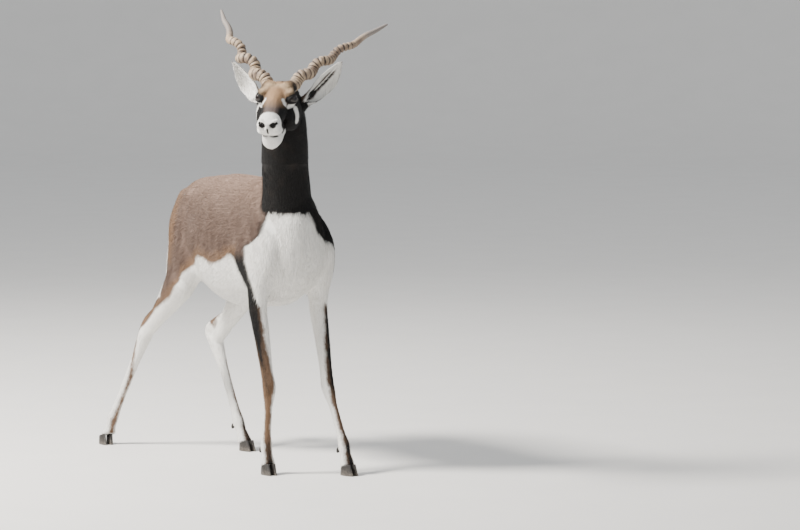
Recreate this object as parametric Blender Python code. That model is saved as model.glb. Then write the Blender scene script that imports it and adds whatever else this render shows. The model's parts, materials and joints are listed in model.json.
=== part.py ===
"""Adult male blackbuck at life size: it stands with the left hind leg under it and the
right one stretched back, the neck raised and the head turned to the animal's right.

Metres, +Z up. The animal faces -Y and its left side is at +X. The flesh is lofted from
anatomical stations, fused into one body, modelled by small functions of place, and parted
into named pieces by thin cuts. Horns, eyes and dewclaws sit in sockets of their own shape,
and ears and hooves meet the flesh face to face.
"""

import math

import bmesh
import bpy
import numpy as np
from mathutils import Vector

# Driving dimensions
GAP = 0.0003
FUSE_VOXEL = 0.0028
RING_STEP = 0.009
FLESH_TRIANGLES = 6600
SIDES = {"left": 1.0, "right": -1.0}
WORLD_AXES = (Vector((1, 0, 0)), Vector((0, 1, 0)), Vector((0, 0, 1)))

# Head carriage: turned to the animal's right, nose lowered, left cheek a little dipped
HEAD_TURN = math.radians(44.5)
HEAD_DIP = math.radians(21.0)
HEAD_ROLL = math.radians(2.0)
EYE_MIDPOINT = Vector((-0.142, -0.078, 1.046))

# On the head: along the face, to the side, above the line of the eyes
EYE_RADIUS = 0.0160
EYE_SEAT = (0.0065, 0.0415, 0.0035)
GAZE = (0.45, 0.87, 0.20)
EAR_ROOT = (-0.058, 0.051, -0.045)
EAR_TIPS = {"left": (-0.121, 0.155, 0.060), "right": (-0.129, 0.153, 0.043)}
EAR_BEND = {"left": 0.017, "right": 0.024}
EAR_OUTWARD = {"left": 0.22, "right": 0.04}
EAR_STUB = 0.016
HORN_ROOT = (-0.022, 0.0225, 0.017)
HORN_TIPS = {"left": (-0.351, 0.236, 0.080), "right": (-0.350, 0.236, 0.104)}
HORN_RADIUS = 0.0170
HORN_TAPER = 0.50
HORN_TURNS = {"left": 4.61, "right": 4.18}
HORN_PHASE = {"left": -1.84, "right": 0.53}
HORN_SWING = {"left": 0.0067, "right": 0.0127}
HORN_BOW = {"left": (0.012, -0.029, -0.005), "right": (0.004, 0.011, -0.017)}
HORN_BOW_SKEW = {"left": 1.05, "right": 1.44}
HORN_RINGS = 25
HORN_RINGED = 0.74
HORN_STRAIGHT = 0.06
HORN_SIDES = 9
EYE_SIDES = 14
EYE_RINGS = 8

# Hooves: half of a cloven foot
CLAW_HEIGHT = 0.0270
CLAW_HALF_WIDTH = 0.0094
CLAW_FRONT = 0.0330
CLAW_BACK = 0.0220
CLAW_SLOPE = 0.0220
CLAW_LOFT = 0.0460
CLEFT = 0.0034
CORONET_SLOPE = 0.30


def head_axes():
    """Forward, left and up directions of the turned, dipped and rolled head."""
    ahead = Vector((-math.sin(HEAD_TURN), -math.cos(HEAD_TURN), 0.0))
    left = Vector((math.cos(HEAD_TURN), -math.sin(HEAD_TURN), 0.0))
    forward = ahead * math.cos(HEAD_DIP) - Vector((0, 0, math.sin(HEAD_DIP)))
    up = ahead * math.sin(HEAD_DIP) + Vector((0, 0, math.cos(HEAD_DIP)))
    rolled_left = left * math.cos(HEAD_ROLL) - up * math.sin(HEAD_ROLL)
    rolled_up = up * math.cos(HEAD_ROLL) + left * math.sin(HEAD_ROLL)
    return forward, rolled_left, rolled_up


HEAD_AXES = head_axes()
FORWARD, LEFT, UP = HEAD_AXES


def on_head(along, aside, above):
    """The world place of a point given on the head."""
    return EYE_MIDPOINT + FORWARD * along + LEFT * aside + UP * above


def mirrored_on_head(place, side):
    """The place of a point of the animal's left side on the given side of the head."""
    along, aside, above = place
    return on_head(along, side * aside, above)


# Lofts and blobs

def rows_along(stations, step):
    """Rows on a smooth curve through the stations, about one step apart."""
    stations = np.array(stations, float)
    hops = np.linalg.norm(np.diff(stations[:, :3], axis=0), axis=1)
    reach = np.concatenate([[0.0], np.cumsum(hops)])
    slopes = np.gradient(stations, reach, axis=0)
    rows = []
    for distance in np.linspace(0, reach[-1], max(3, round(reach[-1] / step) + 1)):
        i = min(np.searchsorted(reach, distance, side="right") - 1, len(reach) - 2)
        span = reach[i + 1] - reach[i]
        u = (distance - reach[i]) / span
        rows.append(
            stations[i] * (2 * u**3 - 3 * u**2 + 1)
            + stations[i + 1] * (3 * u**2 - 2 * u**3)
            + slopes[i] * span * (u**3 - 2 * u**2 + u)
            + slopes[i + 1] * span * (u**3 - u**2)
        )
    return np.array(rows)


def ring_faces(rings, segments, flipped=()):
    """Triangles of a closed tube of equal rings, capped at both ends. The triangles of
    the flipped segments slant the other way."""
    faces = []
    for r in range(rings - 1):
        for s in range(segments):
            a, b = r * segments + s, r * segments + (s + 1) % segments
            c, d = b + segments, a + segments
            faces += [(a, b, d), (b, c, d)] if s in flipped else [(a, b, c), (a, c, d)]
    last = (rings - 1) * segments
    faces.append(tuple(range(segments))[::-1])
    faces.append(tuple(range(last, last + segments)))
    return faces


def loft(stations, front, segments=20, step=RING_STEP, domes=(0.0, 0.0)):
    """Vertices and faces of a closed tube. A station is x, y, z, then the radii to the
    side, to the front and to the back, then how far the outline narrows at its front.
    A step of None keeps the stations as they are."""
    rows = np.array(stations, float) if step is None else rows_along(stations, step)
    tangents = np.gradient(rows[:, :3], axis=0)
    tangents /= np.linalg.norm(tangents, axis=1)[:, None]
    rings = [(row[:3], tangent, row[3:6], row[6]) for row, tangent in zip(rows, tangents)]
    for end, depth in zip((0, -1), domes):
        if not depth:
            continue
        centre, tangent, radii, taper = rings[end]
        outward = -tangent if end == 0 else tangent
        caps = [
            (centre + outward * depth * math.sin(t), tangent, radii * math.cos(t), taper)
            for t in (math.radians(30), math.radians(56), math.radians(76))
        ]
        rings = caps[::-1] + rings if end == 0 else rings + caps
    angles = np.linspace(0, 2 * math.pi, segments, endpoint=False)
    front = np.array(front, float)
    points = []
    for centre, tangent, (side, ahead, behind), taper in rings:
        forward = front - tangent * (front @ tangent)
        forward /= np.linalg.norm(forward)
        across = np.cross(forward, tangent)
        fore = np.cos(angles) * np.where(np.cos(angles) > 0, ahead, behind)
        wide = np.sin(angles) * side * (1 - taper * np.cos(angles))
        points.append(centre + fore[:, None] * forward + wide[:, None] * across)
    return np.concatenate(points), ring_faces(len(rings), segments)


def blob(centre, radii, axes=WORLD_AXES, segments=16, rings=8):
    """Vertices and faces of an ellipsoid, its radii along the given axes."""
    mesh = bmesh.new()
    bmesh.ops.create_uvsphere(mesh, u_segments=segments, v_segments=rings, radius=1)
    points = []
    for vertex in mesh.verts:
        offset = sum((a * r * c for a, r, c in zip(axes, radii, vertex.co)), Vector())
        points.append(Vector(centre) + offset)
    faces = [tuple(v.index for v in face.verts) for face in mesh.faces]
    mesh.free()
    return np.array(points), faces


# Objects

def make_object(name, shapes):
    """One mesh object that holds the given shapes, their faces turned outwards."""
    points, faces = [], []
    start = 0
    for shape_points, shape_faces in shapes:
        points.append(np.array(shape_points))
        faces += [tuple(start + i for i in face) for face in shape_faces]
        start += len(shape_points)
    mesh = bpy.data.meshes.new(name)
    mesh.from_pydata(np.concatenate(points).tolist(), [], faces)
    work = bmesh.new()
    work.from_mesh(mesh)
    bmesh.ops.recalc_face_normals(work, faces=work.faces)
    work.to_mesh(mesh)
    work.free()
    thing = bpy.data.objects.new(name, mesh)
    bpy.context.scene.collection.objects.link(thing)
    return thing


def duplicate(thing, name):
    """A second object with its own copy of the mesh."""
    twin = bpy.data.objects.new(name, thing.data.copy())
    bpy.context.scene.collection.objects.link(twin)
    return twin


def apply_modifiers(thing):
    """Give the object the mesh that its modifiers make."""
    bpy.context.view_layer.update()
    graph = bpy.context.evaluated_depsgraph_get()
    mesh = bpy.data.meshes.new_from_object(thing.evaluated_get(graph))
    thing.modifiers.clear()
    thing.data = mesh


def keep_largest(thing):
    """Keep the largest closed surface of the object and drop loose scraps."""
    work = bmesh.new()
    work.from_mesh(thing.data)
    unseen = set(work.faces)
    shells = []
    while unseen:
        shell = [unseen.pop()]
        for face in shell:
            for edge in face.edges:
                for other in edge.link_faces:
                    if other in unseen:
                        unseen.discard(other)
                        shell.append(other)
        shells.append(shell)
    shells.sort(key=lambda shell: sum(face.calc_area() for face in shell))
    loose = [face for shell in shells[:-1] for face in shell]
    bmesh.ops.delete(work, geom=loose, context="FACES")
    work.to_mesh(thing.data)
    work.free()


def combine(thing, other, operation):
    """Apply a Boolean with another object, and remove that object. The manifold solver
    does the work where the exact one leaves nothing."""
    step = thing.modifiers.new(operation, "BOOLEAN")
    step.operation = operation
    step.object = other
    step.solver = "EXACT"
    bpy.context.view_layer.update()
    graph = bpy.context.evaluated_depsgraph_get()
    if not thing.evaluated_get(graph).data.polygons:
        step.solver = "MANIFOLD"
    apply_modifiers(thing)
    bpy.data.objects.remove(other)
    keep_largest(thing)


def region(planes, grow=0.0):
    """A convex solid inside the planes, each a point and an outward direction."""
    work = bmesh.new()
    bmesh.ops.create_cube(work, size=4.0)
    for point, direction in planes:
        direction = Vector(direction).normalized()
        whole = work.verts[:] + work.edges[:] + work.faces[:]
        cut = bmesh.ops.bisect_plane(
            work, geom=whole, plane_co=Vector(point) + direction * grow,
            plane_no=direction, clear_outer=True,
        )
        rim = [item for item in cut["geom_cut"] if isinstance(item, bmesh.types.BMEdge)]
        bmesh.ops.edgenet_fill(work, edges=rim)
    bmesh.ops.recalc_face_normals(work, faces=work.faces)
    mesh = bpy.data.meshes.new("region")
    work.to_mesh(mesh)
    work.free()
    cutter = bpy.data.objects.new("region", mesh)
    bpy.context.scene.collection.objects.link(cutter)
    return cutter


def part_off(body, name, planes):
    """Cut what lies inside the planes off the body, a gap away, as a piece of its own."""
    piece = duplicate(body, name)
    combine(piece, region(planes), "INTERSECT")
    combine(body, region(planes, GAP), "DIFFERENCE")
    return piece


# Stations of the flesh

def trunk():
    """Chest, barrel, loin and croup: y, middle height, up, down, side, narrowing."""
    profile = [
        (0.020, 0.600, 0.072, 0.085, 0.060, 0.00),
        (0.055, 0.608, 0.105, 0.128, 0.090, 0.05),
        (0.105, 0.620, 0.150, 0.160, 0.108, 0.15),
        (0.175, 0.625, 0.186, 0.172, 0.113, 0.22),
        (0.270, 0.626, 0.184, 0.182, 0.121, 0.12),
        (0.365, 0.628, 0.184, 0.186, 0.126, 0.05),
        (0.445, 0.638, 0.174, 0.168, 0.119, 0.02),
        (0.515, 0.655, 0.150, 0.142, 0.106, 0.05),
        (0.575, 0.665, 0.123, 0.120, 0.094, 0.08),
        (0.625, 0.655, 0.092, 0.100, 0.072, 0.08),
    ]
    stations = [(0, y, z, side, up, down, egg) for y, z, up, down, side, egg in profile]
    return loft(stations, (0, 0, 1), segments=32, domes=(0.03, 0.026))


def breast():
    """The fill between the root of the neck and the point of the brisket."""
    stations = [
        (-0.008, 0.060, 0.745, 0.058, 0.052, 0.050, 0.0),
        (-0.003, 0.050, 0.680, 0.072, 0.060, 0.050, 0.0),
        (0.000, 0.052, 0.610, 0.080, 0.062, 0.050, 0.0),
        (0.000, 0.084, 0.540, 0.074, 0.054, 0.050, 0.0),
    ]
    return loft(stations, (0, -1, 0), segments=24, domes=(0.03, 0.03))


def neck():
    """The raised neck, bending to the animal's right."""
    stations = [
        (0.000, 0.150, 0.610, 0.078, 0.112, 0.110, 0.0),
        (-0.006, 0.110, 0.690, 0.074, 0.094, 0.100, 0.0),
        (-0.022, 0.076, 0.770, 0.067, 0.076, 0.084, 0.0),
        (-0.046, 0.044, 0.850, 0.064, 0.067, 0.070, 0.0),
        (-0.064, 0.014, 0.925, 0.062, 0.063, 0.060, 0.0),
        (-0.073, -0.003, 0.985, 0.056, 0.058, 0.053, 0.0),
        (-0.078, -0.010, 1.035, 0.046, 0.048, 0.044, 0.0),
    ]
    return loft(stations, (-0.5, -1, 0), segments=28, domes=(0.03, 0.02))


def face_station(along, middle, up, down, side, taper=0.0, aside=0.0):
    """A station of the head given on the face's own axes."""
    return (*on_head(along, aside, middle), side, up, down, taper)


def head():
    """Skull and upper muzzle, lower jaw, cheeks, sockets, nostril wings and lips."""
    skull = [
        face_station(-0.100, -0.030, 0.030, 0.040, 0.038, 0.1),
        face_station(-0.070, -0.022, 0.038, 0.050, 0.047, 0.1),
        face_station(-0.034, -0.014, 0.045, 0.050, 0.049, 0.1),
        face_station(0.000, -0.010, 0.041, 0.044, 0.0420, 0.1),
        face_station(0.030, -0.012, 0.034, 0.040, 0.0350, 0.15),
        face_station(0.062, -0.020, 0.027, 0.036, 0.0325, 0.15),
        face_station(0.092, -0.029, 0.023, 0.030, 0.0320, 0.1),
        face_station(0.112, -0.035, 0.0200, 0.025, 0.0300, 0.0),
    ]
    jaw = [
        face_station(-0.064, -0.066, 0.035, 0.036, 0.034),
        face_station(-0.022, -0.068, 0.030, 0.032, 0.034),
        face_station(0.025, -0.070, 0.026, 0.026, 0.0310),
        face_station(0.062, -0.074, 0.024, 0.024, 0.0290, aside=0.001),
        face_station(0.088, -0.077, 0.023, 0.026, 0.0275, aside=0.003),
        face_station(0.107, -0.076, 0.021, 0.026, 0.0240, aside=0.003),
    ]
    shapes = [
        loft(skull, UP, segments=28, step=0.006, domes=(0.022, 0.013)),
        loft(jaw, UP, segments=24, step=0.006, domes=(0.022, 0.009)),
    ]
    for side in SIDES.values():
        shapes += [
            blob(on_head(-0.010, side * 0.0365, -0.050), (0.055, 0.0235, 0.043), HEAD_AXES),
            blob(on_head(0.001, side * 0.0365, 0.003), (0.025, 0.0135, 0.0235), HEAD_AXES),
            blob(on_head(-0.004, side * 0.0370, 0.0215), (0.024, 0.0165, 0.0070), HEAD_AXES),
            blob(on_head(0.108, side * 0.0180, -0.029), (0.017, 0.0150, 0.0150), HEAD_AXES),
            blob(on_head(0.088, side * 0.0200, -0.049), (0.032, 0.0165, 0.0125), HEAD_AXES),
        ]
    for name in SIDES:
        shapes.append(loft(ear_stub(name), FORWARD, segments=16, step=0.005))
        shapes.append(loft(pedicle(name), UP, segments=16, step=0.004, domes=(0.006, 0.006)))
    return shapes


def mirrored(stations, side):
    """The same stations on the given side of the body."""
    return [(side * x, *rest) for x, *rest in stations]


def limb_station(start, lean, share, side, ahead, behind):
    """A station part of the way along a bone."""
    return (*(np.array(start) + np.array(lean) * share), side, ahead, behind, 0.0)


def foot_stations(fetlock, toe):
    """The fetlock, the pastern and the top of the hoof."""
    pastern = np.array(toe) - np.array(fetlock)
    return [
        limb_station(fetlock, pastern, 0.02, 0.0160, 0.0160, 0.0190),
        limb_station(fetlock, pastern, 0.30, 0.0145, 0.0140, 0.0160),
        limb_station(fetlock, pastern, 0.52, 0.0190, 0.0170, 0.0180),
        limb_station(fetlock, pastern, 0.80, 0.0225, 0.0215, 0.0200),
    ]


def foreleg(side, elbow, knee, fetlock, toe):
    """Shoulder, upper arm, forearm, knee, cannon and pastern of one foreleg."""
    elbow, knee, fetlock = (np.array(p) for p in (elbow, knee, fetlock))
    back = elbow[1] - 0.093
    shoulder = [
        (0.040, 0.165 + back / 2, 0.775, 0.016, 0.034, 0.040, 0.0),
        (0.066, 0.118 + back / 2, 0.700, 0.030, 0.046, 0.060, 0.0),
        (0.082, 0.072 + back / 2, 0.622, 0.033, 0.055, 0.064, 0.0),
        (0.086, 0.078 + back, 0.560, 0.032, 0.050, 0.062, 0.0),
        (0.088, 0.088 + back, 0.510, 0.027, 0.036, 0.048, 0.0),
    ]
    arm, cannon = knee - elbow, fetlock - knee
    limb = [
        (0.088, 0.086 + back, 0.530, 0.028, 0.040, 0.050, 0.0),
        limb_station(elbow, arm, 0.02, 0.0225, 0.0300, 0.0360),
        limb_station(elbow, arm, 0.22, 0.0205, 0.0255, 0.0280),
        limb_station(elbow, arm, 0.50, 0.0178, 0.0240, 0.0225),
        limb_station(elbow, arm, 0.80, 0.0160, 0.0195, 0.0185),
        limb_station(knee, cannon, -0.02, 0.0178, 0.0195, 0.0180),
        limb_station(knee, cannon, 0.13, 0.0160, 0.0165, 0.0175),
        limb_station(knee, cannon, 0.27, 0.0120, 0.0130, 0.0142),
        limb_station(knee, cannon, 0.55, 0.0108, 0.0118, 0.0132),
        limb_station(knee, cannon, 0.82, 0.0118, 0.0128, 0.0145),
        *foot_stations(fetlock, toe),
    ]
    front = (0, -1, 0.15)
    return [
        loft(mirrored(shoulder, side), front, domes=(0.02, 0.02)),
        loft(mirrored(limb, side), front, segments=20, step=0.007, domes=(0.02, 0.004)),
    ]


def hind_leg(side, heel_reach, stifle, hock, fetlock, toe):
    """Thigh, gaskin, hock, cannon and pastern of one hind leg."""
    stifle, hock, fetlock = (np.array(p) for p in (stifle, hock, fetlock))
    gaskin, cannon = hock - stifle, fetlock - hock
    back = stifle[1] - 0.455
    thigh = [
        (0.050, 0.560, 0.735, 0.040, 0.070, 0.050, 0.0),
        (0.062, 0.548 + back * 0.1, 0.670, 0.049, 0.092, 0.082, 0.0),
        (0.074, 0.532 + back * 0.2, 0.600, 0.048, 0.092, 0.080, 0.0),
        (0.086, 0.506 + back * 0.45, 0.545, 0.044, 0.082, 0.086, 0.0),
        (0.090, 0.492 + back * 0.8, 0.500, 0.038, 0.062, 0.082, 0.0),
    ]
    shank = [
        limb_station(stifle, gaskin, -0.02, 0.0360, 0.0430, 0.0700),
        limb_station(stifle, gaskin, 0.20, 0.0330, 0.0380, 0.0620),
        limb_station(stifle, gaskin, 0.45, 0.0265, 0.0310, 0.0450),
        limb_station(stifle, gaskin, 0.70, 0.0195, 0.0240, 0.0290),
        limb_station(stifle, gaskin, 0.92, 0.0172, 0.0210, 0.0210),
        limb_station(stifle, gaskin, 1.03, 0.0160, 0.0180, 0.0180),
    ]
    heel = hock + np.array((0, heel_reach, 0.020))
    string = stifle + gaskin * 0.62 + np.array((0, 0.020, 0.014))
    tendon = [
        (*(stifle + gaskin * 0.42 + np.array((0, 0.018, 0.008))), 0.013, 0.020, 0.014, 0.0),
        (*string, 0.0105, 0.0260, 0.0110, 0.0),
        (*heel, 0.0120, 0.0240, 0.0130, 0.0),
        (*(hock + cannon * 0.10 + np.array((0, 0.011, 0))), 0.0125, 0.0130, 0.0130, 0.0),
    ]
    lower = [
        limb_station(hock, cannon, -0.07, 0.0175, 0.0190, 0.0200),
        limb_station(hock, cannon, 0.02, 0.0200, 0.0215, 0.0240),
        limb_station(hock, cannon, 0.13, 0.0175, 0.0190, 0.0215),
        limb_station(hock, cannon, 0.27, 0.0138, 0.0158, 0.0175),
        limb_station(hock, cannon, 0.58, 0.0118, 0.0135, 0.0150),
        limb_station(hock, cannon, 0.85, 0.0122, 0.0135, 0.0152),
        *foot_stations(fetlock, toe),
    ]
    front = (0, -1, 0.15)
    return [
        loft(mirrored(thigh, side), front, segments=26, domes=(0.03, 0.025)),
        loft(mirrored(shank, side), (0, -1, -0.6), segments=22, domes=(0.02, 0.01)),
        loft(mirrored(tendon, side), front, segments=14, step=0.006, domes=(0.006, 0.006)),
        loft(mirrored(lower, side), front, segments=20, step=0.007, domes=(0.006, 0.004)),
    ]


# Joints of each leg as on the left side, from the body to the middle of the sole
LEG_JOINTS = {
    "fore_left": (
        (0.089, 0.093, 0.455), (0.089, 0.043, 0.236), (0.091, -0.042, 0.080), (0.091, -0.066, 0.0),
    ),
    "fore_right": (
        (0.088, 0.121, 0.455), (0.088, 0.062, 0.236), (0.089, 0.076, 0.080), (0.090, 0.062, 0.0),
    ),
    "hind_left": (
        (0.088, 0.455, 0.495), (0.088, 0.672, 0.305), (0.097, 0.556, 0.080), (0.101, 0.515, 0.0),
    ),
    "hind_right": (
        (0.104, 0.524, 0.490), (0.120, 0.712, 0.335), (0.166, 0.832, 0.080), (0.176, 0.858, 0.0),
    ),
}
HEEL_REACH = {"hind_left": 0.040, "hind_right": 0.008}
FOOT_TURN = {"fore_left": 4.0, "fore_right": 6.0, "hind_left": 2.0, "hind_right": 14.0}


def leg_side(name):
    """+1 for a left leg and -1 for a right one."""
    return SIDES[name.split("_")[1]]


def tail():
    """The tail, laid against the rump."""
    stations = [
        (0.000, 0.600, 0.728, 0.018, 0.018, 0.018, 0.0),
        (0.000, 0.650, 0.722, 0.018, 0.016, 0.016, 0.0),
        (0.001, 0.680, 0.690, 0.018, 0.014, 0.013, 0.0),
        (0.002, 0.691, 0.645, 0.018, 0.013, 0.012, 0.0),
        (0.003, 0.695, 0.600, 0.016, 0.011, 0.011, 0.0),
        (0.003, 0.697, 0.560, 0.010, 0.007, 0.007, 0.0),
    ]
    return loft(stations, (0, -1, -0.2), segments=16, step=0.008, domes=(0.01, 0.012))


def flesh():
    """All lofts of the body in one fused and smoothed mesh."""
    shapes = [trunk(), breast(), neck(), tail(), *head()]
    shapes.append(loft(
        [(0, 0.360, 0.452, 0.012, 0.012, 0.016, 0.0), (0, 0.430, 0.462, 0.012, 0.014, 0.016, 0.0)],
        (0, 0, 1), segments=14, domes=(0.012, 0.02),
    ))
    for name, joints in LEG_JOINTS.items():
        if name in HEEL_REACH:
            shapes += hind_leg(leg_side(name), HEEL_REACH[name], *joints)
        else:
            shapes += foreleg(leg_side(name), *joints)
    body = make_object("torso", shapes)
    fuse = body.modifiers.new("fuse", "REMESH")
    fuse.mode = "VOXEL"
    fuse.voxel_size = FUSE_VOXEL
    apply_modifiers(body)
    keep_largest(body)
    return body


# Modelling of the fused flesh

def places_of(thing):
    """The vertices of an object as an array."""
    places = np.empty(len(thing.data.vertices) * 3)
    thing.data.vertices.foreach_get("co", places)
    return places.reshape(-1, 3)


def face_coordinates(places):
    """Places in the world as along the face, to the left, and above the eye line."""
    offsets = places - np.array(EYE_MIDPOINT)
    return [offsets @ np.array(axis) for axis in HEAD_AXES]


def bump(distance, width):
    """A soft bump, one at no distance and near nothing beyond twice the width."""
    return np.exp(-((distance / width) ** 2))


def near_line(points, start, end):
    """Distance of each point from a stretch of line."""
    start, end = np.array(start), np.array(end)
    line = end - start
    share = np.clip(((points - start) @ line) / (line @ line), 0, 1)
    return np.linalg.norm(points - start - share[:, None] * line, axis=1)


def smooth_flesh(body):
    """Blend the creases where lofts meet, most on the trunk and least on head and legs."""
    places = places_of(body)
    along = face_coordinates(places)[0]
    leg = np.clip((0.47 - places[:, 2]) / 0.05, 0, 1)
    face = np.clip((along + 0.09) / 0.03, 0, 1) * (places[:, 2] > 0.85)
    softness = 1 - 0.80 * np.maximum(leg, face)
    group = body.vertex_groups.new(name="softness")
    for index, weight in enumerate(softness):
        group.add([index], float(weight), "REPLACE")
    smooth = body.modifiers.new("smooth", "SMOOTH")
    smooth.factor = 0.5
    smooth.iterations = 14
    smooth.vertex_group = group.name
    apply_modifiers(body)


def face_relief(places):
    """Height of the lids, nostrils, mouth, lips and face glands over the smooth head."""
    along, aside, above = face_coordinates(places)
    points = np.stack([along, np.abs(aside), above], axis=1)
    from_eye = np.linalg.norm(points - np.array(EYE_SEAT), axis=1)
    outward = (points - np.array(EYE_SEAT)) @ np.array(GAZE)
    lid_circle = np.hypot(np.sqrt(np.maximum(from_eye**2 - outward**2, 0)) - 0.0150, outward - 0.008)
    relief = 0.0030 * bump(lid_circle, 0.0050)
    relief -= 0.0062 * bump(near_line(points, (0.124, 0.0095, -0.036), (0.111, 0.028, -0.024)), 0.0040)
    relief += 0.0016 * bump(near_line(points, (0.116, 0.016, -0.018), (0.098, 0.034, -0.014)), 0.0050)
    jaw_front = near_line(points, (0.126, 0.000, -0.0600), (0.112, 0.026, -0.0600))
    jaw_side = near_line(points, (0.112, 0.026, -0.0600), (0.050, 0.038, -0.0560))
    relief -= 0.0038 * bump(np.minimum(jaw_front, jaw_side), 0.0030)
    relief -= 0.0020 * bump(near_line(points, (0.130, 0.0, -0.036), (0.124, 0.0, -0.056)), 0.0030)
    relief -= 0.0028 * bump(near_line(points, (0.030, 0.040, -0.008), (0.050, 0.036, -0.018)), 0.0034)
    on_face = (along > -0.05) & (places[:, 2] > 0.85)
    return relief * on_face


def body_relief(places):
    """Height of the shoulder blade, ribs, hip bone and hamstring over the smooth body."""
    across, along, height = np.abs(places[:, 0]), places[:, 1], places[:, 2]
    points = np.stack([across, along, height], axis=1)
    relief = 0.0022 * bump(near_line(points, (0.075, 0.190, 0.750), (0.105, 0.075, 0.620)), 0.018)
    relief -= 0.0030 * bump(near_line(points, (0.105, 0.225, 0.740), (0.115, 0.190, 0.540)), 0.016)
    relief += 0.0030 * bump(near_line(points, (0.075, 0.500, 0.775), (0.085, 0.515, 0.745)), 0.018)
    relief -= 0.0030 * bump(near_line(points, (0.110, 0.420, 0.640), (0.110, 0.455, 0.560)), 0.026)
    relief -= 0.0020 * bump(near_line(points, (0.085, 0.600, 0.640), (0.105, 0.590, 0.520)), 0.012)
    return relief * (height > 0.42) * (height < 0.82)


def model_relief(body):
    """Push the flesh along its normals by the relief of the face and the body."""
    mesh = body.data
    places = places_of(body)
    normals = np.empty(len(mesh.vertices) * 3)
    mesh.vertices.foreach_get("normal", normals)
    height = face_relief(places) + body_relief(places)
    moved = places + normals.reshape(-1, 3) * height[:, None]
    mesh.vertices.foreach_set("co", moved.ravel())
    mesh.update()


def thin_out(body):
    """Bring the flesh down to its triangles, which stay where the form bends most."""
    triangles = sum(len(p.vertices) - 2 for p in body.data.polygons)
    thin = body.modifiers.new("thin", "DECIMATE")
    thin.ratio = FLESH_TRIANGLES / triangles
    thin.use_collapse_triangulate = True
    apply_modifiers(body)
    keep_largest(body)


# Horns, ears, eyes and feet

def horn_axes(name):
    """Root, lean, outward and over directions of one horn's spiral."""
    side = SIDES[name]
    root = mirrored_on_head(HORN_ROOT, side)
    tip = mirrored_on_head(HORN_TIPS[name], side)
    axis = (tip - root).normalized()
    out = LEFT * side
    out = (out - axis * out.dot(axis)).normalized()
    over = axis.cross(out) * side
    return root, tip, out, over


def horn_stations(name, grow=0.0):
    """The open spiral of one horn, thick and ringed for most of its length."""
    root, tip, out, over = horn_axes(name)
    along, aside, above = HORN_BOW[name]
    bow = FORWARD * along + LEFT * aside * SIDES[name] + UP * above
    stations = []
    rows = 2 * HORN_RINGS + 12
    for row in range(rows + 1):
        u = row / rows
        swing = HORN_SWING[name] * math.sin(math.pi * min(u / 0.92, 1.0)) ** 0.8 * (1 - 0.3 * u)
        swing *= min(1.0, u / HORN_STRAIGHT)
        turn = 2 * math.pi * HORN_TURNS[name] * u + HORN_PHASE[name]
        offset = (out * math.cos(turn) + over * math.sin(turn)) * swing
        offset += bow * math.sin(math.pi * u ** HORN_BOW_SKEW[name])
        radius = HORN_RADIUS * (1 - u) ** HORN_TAPER + 0.0012
        ringed = 0.05 < u < HORN_RINGED
        ridge = 0.0014 * (1 - 0.4 * u) * (1 if row % 2 else -1) if ringed else 0.0
        radius += ridge + grow
        place = root.lerp(tip, u) + offset
        stations.append((*place, radius, radius, radius, 0.0))
    return stations


def pedicle(name):
    """The bony, haired base that each horn grows from."""
    root, tip, out, over = horn_axes(name)
    lean = (tip - root).normalized()
    return [
        (*(root - lean * 0.012), 0.0205, 0.0205, 0.0205, 0.0),
        (*root, 0.0218, 0.0218, 0.0218, 0.0),
        (*(root + lean * 0.016), 0.0200, 0.0200, 0.0200, 0.0),
    ]


def ear_axes(name):
    """Root, axis, opening and width directions of one ear."""
    side = SIDES[name]
    root = mirrored_on_head(EAR_ROOT, side)
    tip = mirrored_on_head(EAR_TIPS[name], side)
    axis = (tip - root).normalized()
    opening = FORWARD * 0.92 + LEFT * side * EAR_OUTWARD[name] - UP * 0.18
    opening = (opening - axis * opening.dot(axis)).normalized()
    return root, tip, axis, opening, axis.cross(opening)


def ear_stub(name):
    """The fleshy root of an ear, out to where the ear itself starts."""
    root, tip, axis, opening, width = ear_axes(name)
    start = root - axis * 0.022
    end = root + axis * (EAR_STUB + 0.004)
    return [(*start, 0.018, 0.018, 0.018, 0.0), (*root, 0.0175, 0.0175, 0.0175, 0.0),
            (*end, 0.0155, 0.0155, 0.0155, 0.0)]


def ear(name):
    """A cupped leaf: solid where it meets its root, then a thin wall round the opening."""
    root, tip, axis, opening, width = ear_axes(name)
    droop = width if width.z < 0 else -width
    start = root + axis * (EAR_STUB + GAP)
    length = (tip - start).length
    arc = 9
    points = []
    shares = (0.0, 0.05, 0.11, 0.19, 0.29, 0.40, 0.52, 0.64, 0.75, 0.85, 0.93, 0.98, 1.0)
    for u in shares:
        swell = max(0.0, math.sin(math.pi * u**1.1)) ** 1.3
        half_width = 0.0148 * (1 - u) ** 0.3 + 0.0150 * swell + 0.0012
        wrap = math.radians(165 - 105 * min(1.0, u / 0.35) ** 0.7)
        radius = half_width / math.sin(min(wrap, math.pi / 2))
        solid = max(0.0, 1 - u / 0.13)
        wall = min(radius * 0.6, 0.0026 - 0.0008 * u) + (radius * 0.93 - 0.0026) * solid
        bend = (droop * EAR_BEND[name] - opening * 0.003) * math.sin(math.pi * u)
        centre = start + axis * length * u + bend + opening * (radius - half_width) * 0.5
        angles = [wrap * (2 * i / (arc - 1) - 1) for i in range(arc)]
        for angle in angles:
            points.append(centre + (width * math.sin(angle) - opening * math.cos(angle)) * radius)
        inner = radius - max(wall, 0.0008)
        for angle in reversed(angles):
            points.append(centre + (width * math.sin(angle) - opening * math.cos(angle)) * inner)
    faces = ring_faces(len(shares), 2 * arc, flipped=range(arc, 2 * arc - 1))
    return make_object("ear_" + name, [(np.array(points), faces)])


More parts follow.
